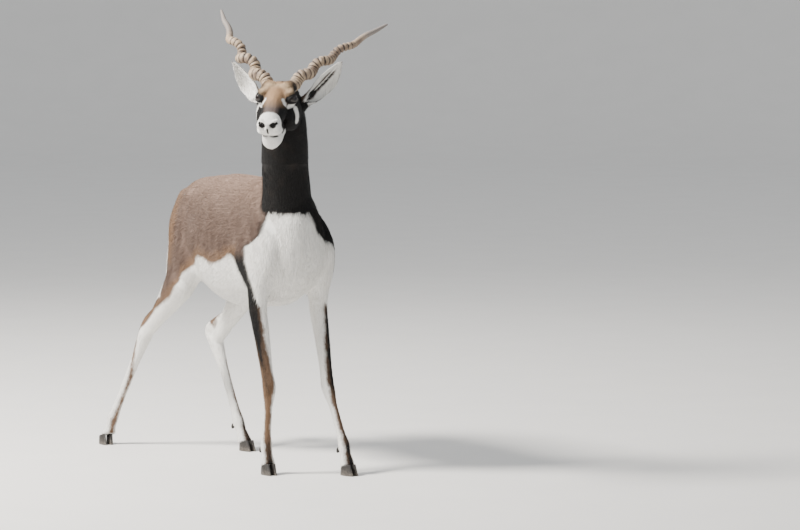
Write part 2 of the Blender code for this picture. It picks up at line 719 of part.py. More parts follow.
def foot_axes(name):
    """Middle of the sole and the directions ahead and to the left of one foot."""
    side = leg_side(name)
    toe = LEG_JOINTS[name][-1]
    turn = math.radians(FOOT_TURN[name]) * side
    ahead = Vector((math.sin(turn), -math.cos(turn), 0))
    left = Vector((math.cos(turn), math.sin(turn), 0))
    return Vector((side * toe[0], toe[1], 0)), ahead, left


def coronet(name, gap=0.0):
    """The plane between flesh and hoof, lower at the heel, and its upward direction."""
    sole, ahead, left = foot_axes(name)
    up = (Vector((0, 0, 1)) - ahead * CORONET_SLOPE).normalized()
    return sole + Vector((0, 0, CLAW_HEIGHT)) + up * gap, up


def claw(leg, name, side):
    """One half of a cloven hoof: flat sole, sloping front wall, pointed toe."""
    sole, ahead, left = foot_axes(leg)
    rows = 4
    segments = 14
    points = []
    for row in range(rows):
        rise = row / (rows - 1)
        height = CLAW_LOFT * rise
        front = CLAW_FRONT - CLAW_SLOPE * rise
        back = CLAW_BACK - 0.003 * rise
        half = CLAW_HALF_WIDTH * (1.0 - 0.08 * rise)
        for i in range(segments):
            angle = 2 * math.pi * i / segments
            fore = math.cos(angle)
            reach = fore * (front if fore > 0 else back)
            wide = math.sin(angle) * half * (1 - 0.35 * max(fore, 0.0))
            inward = -0.0030 * max(fore, 0.0) ** 2
            middle = side * (CLEFT / 2 + half + inward)
            points.append(sole + ahead * reach + left * (middle + wide)
                          + Vector((0, 0, height)))
    hoof = make_object(name, [(np.array(points), ring_faces(rows, segments))])
    point, up = coronet(leg)
    combine(hoof, region([(point, up)]), "INTERSECT")
    return hoof


def dewclaw(leg, side, grow=0.0):
    """Shape of one of the two small claws behind a fetlock."""
    sole, ahead, left = foot_axes(leg)
    joint = Vector(LEG_JOINTS[leg][-2])
    joint.x *= leg_side(leg)
    axis = (Vector((0, 0, -1)) - ahead * 0.55).normalized()
    across = left
    third = axis.cross(across)
    place = joint - ahead * 0.0155 + left * side * 0.0095 + Vector((0, 0, -0.013))
    radii = (0.0058 + grow, 0.0058 + grow, 0.0105 + grow)
    return blob(place, radii, (across, third, axis), segments=8, rings=5)


# Cuts between the pieces of flesh

def head_planes():
    """The head ends behind the jaw and the nape, and does not take in the throat."""
    throat, nape = Vector((-0.072, 0, -0.104)), Vector((-0.112, 0, 0.024))
    chord = nape - throat
    backward = Vector((-chord.z, 0, chord.x))
    direction = FORWARD * backward.x + UP * backward.z
    return [(on_head(*throat), direction), (on_head(0, 0, -0.125), -UP)]


def leg_planes(name):
    """The leg starts at a slanting cut above the elbow or the stifle."""
    side = leg_side(name)
    first = Vector(LEG_JOINTS[name][0])
    fore = name.startswith("fore")
    top = 0.492 if fore else 0.530
    tilt = (-0.50 * side, 0.0, 0.87) if fore else (-0.45 * side, -0.10, 0.88)
    near, far = (-1.0, 0.20) if fore else (first.y - 0.055, 2.0)
    lean = 0.0 if fore else 0.15
    return [
        (Vector((side * first.x, first.y, top)), tilt),
        (Vector((side * 0.008, 0, 0)), (-side, 0, 0)),
        (Vector((0, near, 0.50)), (0, -1, lean)),
        (Vector((0, far, 0)), (0, 1, 0)),
    ]


def across_bone(start, end, share, side):
    """A plane square to a bone part of the way along it, facing up the leg."""
    start, end = Vector(start), Vector(end)
    start.x *= side
    end.x *= side
    return start.lerp(end, share), start - end


def part_leg(body, name):
    """Part one leg off the body as upper leg, cannon, pastern, two claws and dewclaws."""
    side = leg_side(name)
    joints = LEG_JOINTS[name]
    upper = part_off(body, "leg_" + name + "_upper", leg_planes(name))
    middle, fetlock, toe = joints[-3:]
    cannon = part_off(upper, "leg_" + name + "_cannon", [across_bone(middle, fetlock, 0.16, side)])
    foot = part_off(cannon, "leg_" + name + "_pastern", [across_bone(middle, fetlock, 0.88, side)])
    point, up = coronet(name, GAP)
    combine(foot, region([(point, -up)]), "INTERSECT")
    for place, sign in (("inner", -side), ("outer", side)):
        claw(name, "hoof_" + name + "_" + place, sign)
        combine(foot, make_object("socket", [dewclaw(name, sign, GAP)]), "DIFFERENCE")
        make_object("dewclaw_" + name + "_" + place, [dewclaw(name, sign)])


def part_head(body):
    """Part the head off and seat horns, eyes and ears in it."""
    head_piece = part_off(body, "head", head_planes())
    for name, side in SIDES.items():
        root, tip, axis, opening, width = ear_axes(name)
        ear_cut = [
            (root + axis * EAR_STUB, -axis),
            (root + axis * 0.06, axis),
            (root + opening * 0.03, opening), (root - opening * 0.03, -opening),
            (root + width * 0.03, width), (root - width * 0.03, -width),
        ]
        combine(head_piece, region(ear_cut), "DIFFERENCE")
        ear(name)
        eye_place = mirrored_on_head(EYE_SEAT, side)
        eye_radii = (EYE_RADIUS,) * 3
        socket_radii = (EYE_RADIUS + GAP,) * 3
        eye_axes = (FORWARD, UP, LEFT)
        socket = make_object("socket", [blob(eye_place, socket_radii, eye_axes, EYE_SIDES, EYE_RINGS)])
        combine(head_piece, socket, "DIFFERENCE")
        make_object("eye_" + name, [blob(eye_place, eye_radii, eye_axes, EYE_SIDES, EYE_RINGS)])
        horn_socket = [loft(horn_stations(name, GAP), UP, HORN_SIDES, step=None)]
        horn_socket[0][0][:HORN_SIDES] -= np.array((tip - root).normalized()) * GAP
        combine(head_piece, make_object("socket", horn_socket), "DIFFERENCE")
        make_object("horn_" + name, [loft(horn_stations(name), UP, HORN_SIDES, step=None)])


def part_flesh(body):
    """Cut the body into its named pieces; what is left of it is the torso."""
    part_head(body)
    part_off(body, "neck", [((0.0, 0.0, 0.719), (0.12, 0.47, -0.87))])
    part_off(body, "tail", [
        ((0, 0.664, 0.70), (0, -1, 0)), ((0, 0, 0.53), (0, 0, -1)),
        ((0.04, 0, 0), (1, 0, 0)), ((-0.04, 0, 0), (-1, 0, 0)),
    ])
    for name in LEG_JOINTS:
        part_leg(body, name)


# Finish

FINISHES = {
    "torso": ((0.270, 0.185, 0.135), 0.85),
    "neck": ((0.018, 0.014, 0.012), 0.80),
    "head": ((0.075, 0.055, 0.045), 0.80),
    "tail": ((0.200, 0.140, 0.100), 0.85),
    "ear": ((0.620, 0.580, 0.520), 0.85),
    "eye": ((0.010, 0.007, 0.005), 0.08),
    "horn": ((0.240, 0.180, 0.130), 0.45),
    "leg": ((0.380, 0.270, 0.180), 0.85),
    "hoof": ((0.020, 0.017, 0.015), 0.40),
    "dewclaw": ((0.025, 0.020, 0.017), 0.45),
}


def give_material(thing):
    """The colour and roughness of a piece by the first word of its name."""
    colour, roughness = FINISHES[thing.name.split("_")[0]]
    material = bpy.data.materials.new(thing.name)
    material.use_nodes = True
    shader = material.node_tree.nodes["Principled BSDF"]
    shader.inputs["Base Color"].default_value = (*colour, 1)
    shader.inputs["Roughness"].default_value = roughness
    shader.inputs["Metallic"].default_value = 0.0
    thing.data.materials.clear()
    thing.data.materials.append(material)


def stand_on_origin(pieces):
    """Bring the middle of the footprint of the whole animal to the origin."""
    places = np.concatenate([places_of(piece) for piece in pieces])
    low, high = places.min(axis=0), places.max(axis=0)
    shift = Vector(((low[0] + high[0]) / 2, (low[1] + high[1]) / 2, low[2]))
    for piece in pieces:
        piece.location = -shift


def main():
    """Model the flesh, part it, and finish every piece."""
    body = flesh()
    smooth_flesh(body)
    model_relief(body)
    thin_out(body)
    part_flesh(body)
    pieces = [thing for thing in bpy.data.objects if thing.type == "MESH"]
    for piece in pieces:
        piece.data.shade_smooth()
        piece.data.set_sharp_from_angle(angle=math.radians(50))
        give_material(piece)
    stand_on_origin(pieces)


for thing in list(bpy.data.objects):
    bpy.data.objects.remove(thing)
main()
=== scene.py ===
"""Looks of the life-size blackbuck: coat, horns, ears, eyes and feet round the fixed frame.

Places are written in body coordinates, the ones the solids were modelled in: metres, +Z up,
the animal facing -Y with its left side at +X. Layout.shift carries them into the row frame.
"""

from __future__ import annotations

import json
import logging
import math
from dataclasses import dataclass, field
from enum import Enum

import bmesh
import bpy
import numpy as np
from mathutils import Matrix, Vector

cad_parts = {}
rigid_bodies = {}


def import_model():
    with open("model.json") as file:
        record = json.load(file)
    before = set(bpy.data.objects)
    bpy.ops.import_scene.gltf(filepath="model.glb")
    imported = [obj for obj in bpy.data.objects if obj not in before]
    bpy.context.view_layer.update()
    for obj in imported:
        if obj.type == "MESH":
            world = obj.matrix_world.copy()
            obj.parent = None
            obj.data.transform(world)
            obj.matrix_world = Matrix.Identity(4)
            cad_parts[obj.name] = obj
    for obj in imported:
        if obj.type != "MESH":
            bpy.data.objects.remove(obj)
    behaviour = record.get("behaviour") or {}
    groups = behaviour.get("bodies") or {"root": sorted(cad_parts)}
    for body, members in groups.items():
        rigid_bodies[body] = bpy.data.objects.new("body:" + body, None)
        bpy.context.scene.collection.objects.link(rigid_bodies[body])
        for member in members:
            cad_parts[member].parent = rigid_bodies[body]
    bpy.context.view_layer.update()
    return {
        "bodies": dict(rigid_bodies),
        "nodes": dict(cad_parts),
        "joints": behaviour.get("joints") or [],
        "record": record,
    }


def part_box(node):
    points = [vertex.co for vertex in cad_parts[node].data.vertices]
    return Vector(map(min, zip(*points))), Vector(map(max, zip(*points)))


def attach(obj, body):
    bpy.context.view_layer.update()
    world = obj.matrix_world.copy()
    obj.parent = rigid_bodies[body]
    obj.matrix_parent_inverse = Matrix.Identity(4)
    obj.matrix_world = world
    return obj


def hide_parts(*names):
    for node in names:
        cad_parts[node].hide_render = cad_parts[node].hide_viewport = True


log = logging.getLogger("blackbuck")

BODY = "root"
SIDES = {"left": 1.0, "right": -1.0}
LEGS = ("fore_left", "fore_right", "hind_left", "hind_right")
NOWHERE = -0.05
Number = float | int
Triple = tuple[float, float, float]


class Slot(Enum):
    """Material slots of the record."""

    BODY = "coat_body"
    NECK = "coat_neck"
    FACE = "coat_face"
    EARS = "coat_ears"
    LEGS = "coat_legs"
    HORNS = "horns"
    EYES = "eyes"
    HOOVES = "hooves"


# Node trees written as expressions

class Wire:
    """One output socket that takes part in Python arithmetic."""

    def __init__(self, bench: Bench, socket: bpy.types.NodeSocket) -> None:
        """Hold a socket and the bench that adds nodes for it."""
        self.bench = bench
        self.socket = socket

    def _maths(self, operation: str, *values: Wire | Number) -> Wire:
        """Add one Math node.

        Args:
            operation: The node's operation.
            values: Its inputs in order, as wires or numbers.

        Returns:
            The result as a wire.
        """
        node = self.bench.node("ShaderNodeMath", {"operation": operation}, dict(enumerate(values)))
        return Wire(self.bench, node.outputs[0])

    def __add__(self, other: Wire | Number) -> Wire:
        """Sum."""
        return self._maths("ADD", self, other)

    def __radd__(self, other: Number) -> Wire:
        """Sum with the number first."""
        return self._maths("ADD", other, self)

    def __sub__(self, other: Wire | Number) -> Wire:
        """Difference."""
        return self._maths("SUBTRACT", self, other)

    def __rsub__(self, other: Number) -> Wire:
        """Difference with the number first."""
        return self._maths("SUBTRACT", other, self)

    def __mul__(self, other: Wire | Number) -> Wire:
        """Product."""
        return self._maths("MULTIPLY", self, other)

    def __rmul__(self, other: Number) -> Wire:
        """Product with the number first."""
        return self._maths("MULTIPLY", other, self)

    def __truediv__(self, other: Wire | Number) -> Wire:
        """Quotient."""
        return self._maths("DIVIDE", self, other)

    def __rtruediv__(self, other: Number) -> Wire:
        """Quotient with the number first."""
        return self._maths("DIVIDE", other, self)

    def __pow__(self, other: Wire | Number) -> Wire:
        """Power."""
        return self._maths("POWER", self, other)

    def absolute(self) -> Wire:
        """Value without its sign."""
        return self._maths("ABSOLUTE", self)

    def sine(self) -> Wire:
        """Sine of the value in radians."""
        return self._maths("SINE", self)

    def at_least(self, other: Wire | Number) -> Wire:
        """The larger of two values."""
        return self._maths("MAXIMUM", self, other)

    def at_most(self, other: Wire | Number) -> Wire:
        """The smaller of two values."""
        return self._maths("MINIMUM", self, other)

    def stepped(self, low: float, high: float) -> Wire:
        """Soft step from 0 to 1.

        Args:
            low: Value at which the step starts.
            high: Value at which it ends.

        Returns:
            The step as a wire.
        """
        node = self.bench.node(
            "ShaderNodeMapRange", {"interpolation_type": "SMOOTHSTEP"}, {0: self, 1: low, 2: high},
        )
        return Wire(self.bench, node.outputs[0])


class Bench:
    """A node tree with one way to add any node."""

    def __init__(self, tree: bpy.types.NodeTree) -> None:
        """Hold the tree that the nodes go into."""
        self.tree = tree

    def node(self, kind: str, settings: dict | None = None, inputs: dict | None = None) -> bpy.types.Node:
        """Add a node.

        Args:
            kind: The node's type.
            settings: Its properties, set first. "stops" gives a colour ramp's stops.
            inputs: Values or links of its sockets, by name or number.

        Returns:
            The new node.
        """
        node = self.tree.nodes.new(kind)
        for name, value in (settings or {}).items():
            if name == "stops":
                self._set_stops(node.color_ramp, value)
            else:
                setattr(node, name, value)
        for key, value in (inputs or {}).items():
            socket = node.inputs[key]
            if isinstance(value, Wire):
                self.tree.links.new(value.socket, socket)
            elif isinstance(value, bpy.types.NodeSocket):
                self.tree.links.new(value, socket)
            else:
                socket.default_value = value
        return node

    def _set_stops(self, ramp: bpy.types.ColorRamp, stops: list[tuple[float, tuple]]) -> None:
        """Give a colour ramp its stops."""
        while len(ramp.elements) < len(stops):
            ramp.elements.new(1.0)
        for element, (place, colour) in zip(ramp.elements, stops):
            element.position = place
            element.color = (*colour, 1.0)

    def out(self, node: bpy.types.Node, output: int | str = 0) -> Wire:
        """An output of a node as a wire."""
        return Wire(self, node.outputs[output])

    def attribute(self, name: str) -> Wire:
        """A number stored on the mesh."""
        return self.out(self.node("ShaderNodeAttribute", {"attribute_name": name}), "Fac")

    def attribute_vector(self, name: str) -> Wire:
        """A vector stored on the mesh."""
        return self.out(self.node("ShaderNodeAttribute", {"attribute_name": name}), "Vector")

    def named(self, name: str, kind: str = "FLOAT") -> Wire:
        """A value stored on the geometry, read inside a Geometry Nodes tree."""
        return self.out(self.node("GeometryNodeInputNamedAttribute", {"data_type": kind}, {"Name": name}))

    def stored(self, geometry: Wire, name: str, value: Wire, kind: str = "FLOAT") -> Wire:
        """The geometry with a value stored on its points."""
        settings = {"data_type": kind, "domain": "POINT"}
        inputs = {"Geometry": geometry, "Name": name, "Value": value}
        return self.out(self.node("GeometryNodeStoreNamedAttribute", settings, inputs))

    def sent_out(self, geometry: Wire, material: bpy.types.Material) -> None:
        """Realize the geometry, give it its material and make it the tree's result."""
        real = self.out(self.node("GeometryNodeRealizeInstances", {}, {"Geometry": geometry}))
        inputs = {"Geometry": real, "Material": material}
        dressed = self.out(self.node("GeometryNodeSetMaterial", {}, inputs))
        self.node("NodeGroupOutput", {}, {"Geometry": dressed})

    def place(self) -> Wire:
        """Object coordinates."""
        return self.out(self.node("ShaderNodeTexCoord"), "Object")

    def noise(self, scale: float, place: Wire | None = None, detail: float = 2.0,
              rough: float = 0.5) -> Wire:
        """Noise from 0 to 1.

        Args:
            scale: Waves a metre.
            place: Where it is read, or the object coordinates.
            detail: Octaves.
            rough: Share of the finer octaves.

        Returns:
            The noise as a wire.
        """
        node = self.node("ShaderNodeTexNoise", {}, {
            "Vector": place or self.place(), "Scale": scale, "Detail": detail, "Roughness": rough,
        })
        return self.out(node)

    def mix(self, share: Wire | float, first: Wire | tuple, second: Wire | tuple) -> Wire:
        """A blend of two colours."""
        pair = [c if isinstance(c, Wire) else (*c, 1.0) for c in (first, second)]
        node = self.node("ShaderNodeMix", {"data_type": "RGBA"}, {0: share, 6: pair[0], 7: pair[1]})
        return self.out(node, 2)

    def lit(self, colour: Wire, share: Wire) -> Wire:
        """A colour made darker or lighter by a factor."""
        node = self.node("ShaderNodeVectorMath", {"operation": "SCALE"}, {0: colour, "Scale": share})
        return self.out(node)

    def vectors(self, operation: str, *values: Wire | tuple, output: int = 0) -> Wire:
        """Add one Vector Math node and give its output."""
        node = self.node("ShaderNodeVectorMath", {"operation": operation}, dict(enumerate(values)))
        return self.out(node, output)


@dataclass(frozen=True)
class Gloss:
    """Constant surface settings of a finish, set on the shader's own sockets."""

    roughness: float = 0.7
    specular: float = 0.5
    sheen: float = 0.0
    sheen_roughness: float = 0.4
    coat: float = 0.0
    coat_roughness: float = 0.05


def new_material(name: str, gloss: Gloss) -> tuple[bpy.types.Material, Bench, bpy.types.Node]:
    """Start a material.

    Args:
        name: Name of the finish.
        gloss: Its constant settings.

    Returns:
        The material, its bench and its shader.
    """
    material = bpy.data.materials.new(name)
    material.use_nodes = True
    shader = material.node_tree.nodes["Principled BSDF"]
    settings = {
        "Roughness": gloss.roughness, "Specular IOR Level": gloss.specular,
        "Sheen Weight": gloss.sheen, "Sheen Roughness": gloss.sheen_roughness,
        "Coat Weight": gloss.coat, "Coat Roughness": gloss.coat_roughness,
    }
    for name_of_input, value in settings.items():
        shader.inputs[name_of_input].default_value = value
    return material, Bench(material.node_tree), shader


# Mesh helpers

def places_of(mesh: bpy.types.Mesh) -> np.ndarray:
    """The vertices of a mesh as rows."""
    places = np.empty(len(mesh.vertices) * 3)
    mesh.vertices.foreach_get("co", places)
    return places.reshape(-1, 3)


def normals_of(mesh: bpy.types.Mesh) -> np.ndarray:
    """The vertex normals of a mesh as rows."""
    normals = np.empty(len(mesh.vertices) * 3, np.float32)
    mesh.vertex_normals.foreach_get("vector", normals)
    return normals.reshape(-1, 3).astype(float)


def set_places(mesh: bpy.types.Mesh, places: np.ndarray) -> None:
    """Move the vertices of a mesh."""
    mesh.vertices.foreach_set("co", places.astype(np.float32).ravel())
    mesh.update()


def store(mesh: bpy.types.Mesh, name: str, values: np.ndarray) -> None:
    """Store one number or one vector a vertex on a mesh."""
    flat = values.ndim == 1
    layer = mesh.attributes.get(name) or mesh.attributes.new(
        name, "FLOAT" if flat else "FLOAT_VECTOR", "POINT",
    )
    layer.data.foreach_set("value" if flat else "vector", values.astype(np.float32).ravel())


def add_object(name: str, mesh: bpy.types.Mesh) -> bpy.types.Object:
    """A new object with the given mesh, at the origin."""
    thing = bpy.data.objects.new(name, mesh)
    bpy.context.scene.collection.objects.link(thing)
    return thing


def turn_outwards(mesh: bpy.types.Mesh) -> None:
    """Turn the faces of a closed mesh outwards."""
    work = bmesh.new()
    work.from_mesh(mesh)
    bmesh.ops.recalc_face_normals(work, faces=work.faces)
    work.to_mesh(mesh)
    work.free()


def mesh_of(name: str, points: np.ndarray, faces: list[tuple[int, ...]]) -> bpy.types.Mesh:
    """A mesh with its faces turned outwards."""
    mesh = bpy.data.meshes.new(name)
    mesh.from_pydata(points.tolist(), [], faces)
    turn_outwards(mesh)
    return mesh


def apply_modifiers(thing: bpy.types.Object) -> None:
    """Give the object the mesh that its modifiers make."""
    bpy.context.view_layer.update()
    graph = bpy.context.evaluated_depsgraph_get()
    old = thing.data
    mesh = bpy.data.meshes.new_from_object(thing.evaluated_get(graph))
    thing.modifiers.clear()
    thing.data = mesh
    if old.users == 0:
        bpy.data.meshes.remove(old)


def modified(thing: bpy.types.Object, kind: str, **settings: object) -> None:
    """Put one modifier on the object and apply it."""
    step = thing.modifiers.new(kind.lower(), kind)
    for name, value in settings.items():
        setattr(step, name, value)
    apply_modifiers(thing)


def keep_largest(thing: bpy.types.Object) -> None:
    """Keep the largest closed surface and drop loose scraps."""
    mesh = thing.data
    count = len(mesh.vertices)
    edges = np.empty(len(mesh.edges) * 2, np.int64)
    mesh.edges.foreach_get("vertices", edges)
    first, second = edges.reshape(-1, 2).T
    label = np.arange(count)
    while True:
        low = np.minimum(label[first], label[second])
        fresh = label.copy()
        np.minimum.at(fresh, first, low)
        np.minimum.at(fresh, second, low)
        fresh = fresh[fresh]
        if np.array_equal(fresh, label):
            break
        label = fresh
    names, sizes = np.unique(label, return_counts=True)
    if len(names) == 1:
        return
    keep = label == names[np.argmax(sizes)]
    work = bmesh.new()
    work.from_mesh(mesh)
    loose = [v for v, kept in zip(work.verts, keep) if not kept]
    bmesh.ops.delete(work, geom=loose, context="VERTS")
    work.to_mesh(mesh)
    work.free()


def ring_faces(rings: int, segments: int) -> list[tuple[int, ...]]:
    """Faces of a closed tube of equal rings, capped at both ends."""
    faces = []
    for r in range(rings - 1):
        for s in range(segments):
            a, b = r * segments + s, r * segments + (s + 1) % segments
            faces.append((a, b, b + segments, a + segments))
    last = (rings - 1) * segments
    faces.append(tuple(range(segments))[::-1])
    faces.append(tuple(range(last, last + segments)))
    return faces


def near_line(points: np.ndarray, *stops: Triple) -> np.ndarray:
    """Distance of each point from a line through the stops."""
    best = np.full(len(points), np.inf)
    for start, end in zip(stops, stops[1:]):
        start, end = np.array(start, float), np.array(end, float)
        line = end - start
        share = np.clip(((points - start) @ line) / (line @ line), 0, 1)
        best = np.minimum(best, np.linalg.norm(points - start - share[:, None] * line, axis=1))
    return best


def bump_at(distance: np.ndarray, width: float) -> np.ndarray:
    """A soft bump, one at no distance and near nothing beyond twice the width."""
    return np.exp(-((distance / width) ** 2))


def soft_step(values: np.ndarray, low: float, high: float) -> np.ndarray:
    """Soft step from 0 at low to 1 at high; low may be the larger."""
    share = np.clip((values - low) / (high - low), 0, 1)
    return share * share * (3 - 2 * share)


def finish_piece(thing: bpy.types.Object, nodes: tuple[str, ...]) -> None:
    """Shade a piece smooth and tie it to the frame.

    Args:
        thing: The finished piece.
        nodes: The CAD nodes that it stands for.
    """
    thing.data.shade_smooth()
    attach(thing, BODY)
    if nodes:
        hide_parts(*nodes)
    triangles = sum(len(p.vertices) - 2 for p in thing.data.polygons)
    log.info("%s: %d triangles, stands for %d nodes", thing.name, triangles, len(nodes))


# Where things are

@dataclass(frozen=True)
class Head:
    """The head's own axes: along the face, to its left, above the line of the eyes."""

    turn: float = math.radians(44.5)
    dip: float = math.radians(21.0)
    roll: float = math.radians(2.0)
    eye_midpoint: Triple = (-0.142, -0.078, 1.046)
    eye_seat: Triple = (0.0065, 0.0415, 0.0035)
    gaze: Triple = (0.45, 0.87, 0.20)
    lid_line: Triple = (0.89, -0.45, -0.02)
    eye_radius: float = 0.0160

    def axes(self) -> tuple[Vector, Vector, Vector]:
        """Forward, left and up directions."""
        ahead = Vector((-math.sin(self.turn), -math.cos(self.turn), 0.0))
        left = Vector((math.cos(self.turn), -math.sin(self.turn), 0.0))
        forward = ahead * math.cos(self.dip) - Vector((0, 0, math.sin(self.dip)))
        up = ahead * math.sin(self.dip) + Vector((0, 0, math.cos(self.dip)))
        rolled_left = left * math.cos(self.roll) - up * math.sin(self.roll)
        rolled_up = up * math.cos(self.roll) + left * math.sin(self.roll)
        return forward, rolled_left, rolled_up

    def place(self, along: float, aside: float, above: float) -> Vector:
        """The body place of a point given on the head."""
        forward, left, up = self.axes()
        return Vector(self.eye_midpoint) + forward * along + left * aside + up * above

    def mirrored(self, place: Triple, side: float) -> Vector:
        """The body place of a point of the left half on the given side."""
        along, aside, above = place
        return self.place(along, side * aside, above)

    def lid_axes(self) -> tuple[np.ndarray, np.ndarray, np.ndarray]:
        """Level, rising and gaze directions of the left eye, on the head's own axes."""
        gaze = np.array(self.gaze) / np.linalg.norm(self.gaze)
        level = np.array(self.lid_line)
        level -= gaze * (level @ gaze)
        level /= np.linalg.norm(level)
        rise = np.cross(level, gaze)
        return level, rise * np.sign(rise[2]), gaze

    def coordinates(self, places: np.ndarray) -> np.ndarray:
        """Body places as along, aside and above."""
        offsets = places - np.array(self.eye_midpoint)
        return np.stack([offsets @ np.array(axis) for axis in self.axes()], axis=1)


@dataclass(frozen=True)
class FaceLine:
    """A line on the left half of the head, its stops given along, aside and above."""

    width: float
    stops: tuple[Triple, ...]
    height: float = 0.0

    def inside(self, points: np.ndarray) -> np.ndarray:
        """How far each point lies within the line's half width."""
        return self.width - near_line(points, *self.stops)

    def relief(self, points: np.ndarray) -> np.ndarray:
        """Height of a soft ridge along the line, or its depth where the height is negative."""
        return self.height * bump_at(near_line(points, *self.stops), self.width)


CARVED = {
    "nostril": FaceLine(0.0042, ((0.123, 0.0095, -0.0290), (0.121, 0.0160, -0.0250),
                                 (0.117, 0.0215, -0.0215)), -0.0080),
    "nostril_corner": FaceLine(0.0028, ((0.117, 0.0215, -0.0215), (0.110, 0.0270, -0.0195)), -0.0035),
    "nostril_wing": FaceLine(0.0034, ((0.121, 0.0110, -0.0165), (0.110, 0.0240, -0.0115)), 0.0014),
    "mouth": FaceLine(0.0022, ((0.117, 0.000, -0.0600), (0.113, 0.0150, -0.0620),
                               (0.104, 0.0240, -0.0620), (0.060, 0.0340, -0.0575)), -0.0040),
    "lip_cleft": FaceLine(0.0016, ((0.131, 0.0, -0.034), (0.125, 0.0, -0.056)), -0.0017),
    "face_gland": FaceLine(0.0022, ((0.031, 0.040, -0.008), (0.050, 0.036, -0.017)), -0.0030),
}

PAINTED = {
    "eye_hook": FaceLine(0.0058, ((0.032, 0.026, 0.010), (0.036, 0.029, 0.001), (0.027, 0.037, -0.011),
                                  (0.010, 0.050, -0.012), (-0.005, 0.056, 0.000), (-0.013, 0.053, 0.016))),
    "cheek_leaf": FaceLine(0.0100, ((0.009, 0.050, -0.027), (0.011, 0.055, -0.042), (0.016, 0.055, -0.055))),
    "brow": FaceLine(0.030, ((-0.030, 0.0, 0.036), (0.020, 0.0, 0.026), (0.030, 0.0, 0.020))),
    "crown": FaceLine(0.011, ((-0.018, 0.0, 0.036), (-0.010, 0.026, 0.034), (0.006, 0.038, 0.028)), 1.0),
}

BARE = {
    "septum": FaceLine(0.0028, ((0.124, 0.0, -0.036), (0.119, 0.0, -0.054))),
    "nostril": FaceLine(0.0080, ((0.122, 0.0130, -0.0270), (0.121, 0.0165, -0.0250))),
    "nostril_corner": FaceLine(0.0040, ((0.121, 0.0165, -0.0250), (0.114, 0.0245, -0.0215))),
    "mouth": FaceLine(0.0028, ((0.116, 0.000, -0.0605), (0.112, 0.0130, -0.0625), (0.103, 0.0230, -0.0635))),
}


@dataclass(frozen=True)
class Leg:
    """The bones of one leg as on the left side, from the body to the sole."""

    name: str
    joints: tuple[Triple, ...]

    @property
    def side(self) -> float:
        """+1 for a left leg and -1 for a right one."""
        return SIDES[self.name.split("_")[1]]

    @property
    def pair(self) -> str:
        """The pair that the leg belongs to, fore or hind."""
        return self.name.split("_")[0]

    def area(self, places: np.ndarray, bounds: dict[str, tuple[float, float]]) -> np.ndarray:
        """Which places count as this leg.

        Args:
            places: Places in body coordinates.
            bounds: For each pair, the height it stays under and the line across the body
                that fore legs stay in front of and hind legs behind.

        Returns:
            True where a place counts as this leg.
        """
        top, line = bounds[self.pair]
        x, y, z = places.T
        own_end = y < line if self.pair == "fore" else y > line
        return (x * self.side > 0) & (z < top) & own_end

    def level(self, mirrored: np.ndarray) -> tuple[np.ndarray, np.ndarray, np.ndarray]:
        """Where points lie along and round the leg.

        Args:
            mirrored: Places with the leg's own side at +X.

        Returns:
            Share along the bones (0 body, 1 knee or hock, 2 fetlock, 3 sole), angle round
            the bone in degrees (0 outside, 90 front, -90 back) and distance from it.
        """
        share = np.zeros(len(mirrored))
        angle = np.zeros(len(mirrored))
        best = np.full(len(mirrored), np.inf)
        for number, (start, end) in enumerate(zip(self.joints, self.joints[1:])):
            start, end = np.array(start), np.array(end)
            bone = end - start
            part = np.clip(((mirrored - start) @ bone) / (bone @ bone), 0, 1)
            offset = mirrored - start - part[:, None] * bone
            far = np.linalg.norm(offset, axis=1)
            line = bone / np.linalg.norm(bone)
            front = np.array((0.0, -1.0, 0.0)) + line * line[1]
            front /= np.linalg.norm(front)
            round_bone = np.degrees(np.arctan2(offset @ front, offset[:, 0]))
            nearer = far < best
            best = np.where(nearer, far, best)
            share = np.where(nearer, number + part, share)
            angle = np.where(nearer, round_bone, angle)
        return share, angle, best


STRIPE_BOUNDS = {"fore": (0.47, 0.26), "hind": (0.44, 0.42)}
GROOMING_BOUNDS = {"fore": (0.50, 0.28), "hind": (0.50, 0.40)}
PATCH_BOUNDS = {"fore": (0.46, 0.26), "hind": (0.44, 0.42)}


@dataclass
class Layout:
    """The head, the legs and the way from body coordinates into the row frame."""

    head: Head = field(default_factory=Head)
    legs: tuple[Leg, ...] = (
        Leg("fore_left", ((0.089, 0.093, 0.455), (0.089, 0.043, 0.236),
                          (0.091, -0.042, 0.080), (0.091, -0.066, 0.0))),
        Leg("fore_right", ((0.088, 0.121, 0.455), (0.088, 0.062, 0.236),
                           (0.089, 0.076, 0.080), (0.090, 0.062, 0.0))),
        Leg("hind_left", ((0.088, 0.455, 0.495), (0.088, 0.672, 0.305),
                          (0.097, 0.556, 0.080), (0.101, 0.515, 0.0))),
        Leg("hind_right", ((0.104, 0.524, 0.490), (0.120, 0.712, 0.335),
                           (0.166, 0.832, 0.080), (0.176, 0.858, 0.0))),
    )
    shift: Vector = field(default_factory=Vector)

    def settle(self) -> None:
        """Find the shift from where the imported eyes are."""
        centres = []
        for name in SIDES:
            low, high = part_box("eye_" + name)
            centres.append((low + high) / 2)
        along, _, above = self.head.eye_seat
        self.shift = (centres[0] + centres[1]) / 2 - self.head.place(along, 0, above)

    def to_body(self, places: np.ndarray) -> np.ndarray:
        """Places of the row frame in body coordinates."""
        return places - np.array(self.shift)

    def to_row(self, places: np.ndarray) -> np.ndarray:
        """Body places in the row frame."""
        return places + np.array(self.shift)


# The skin under the coat

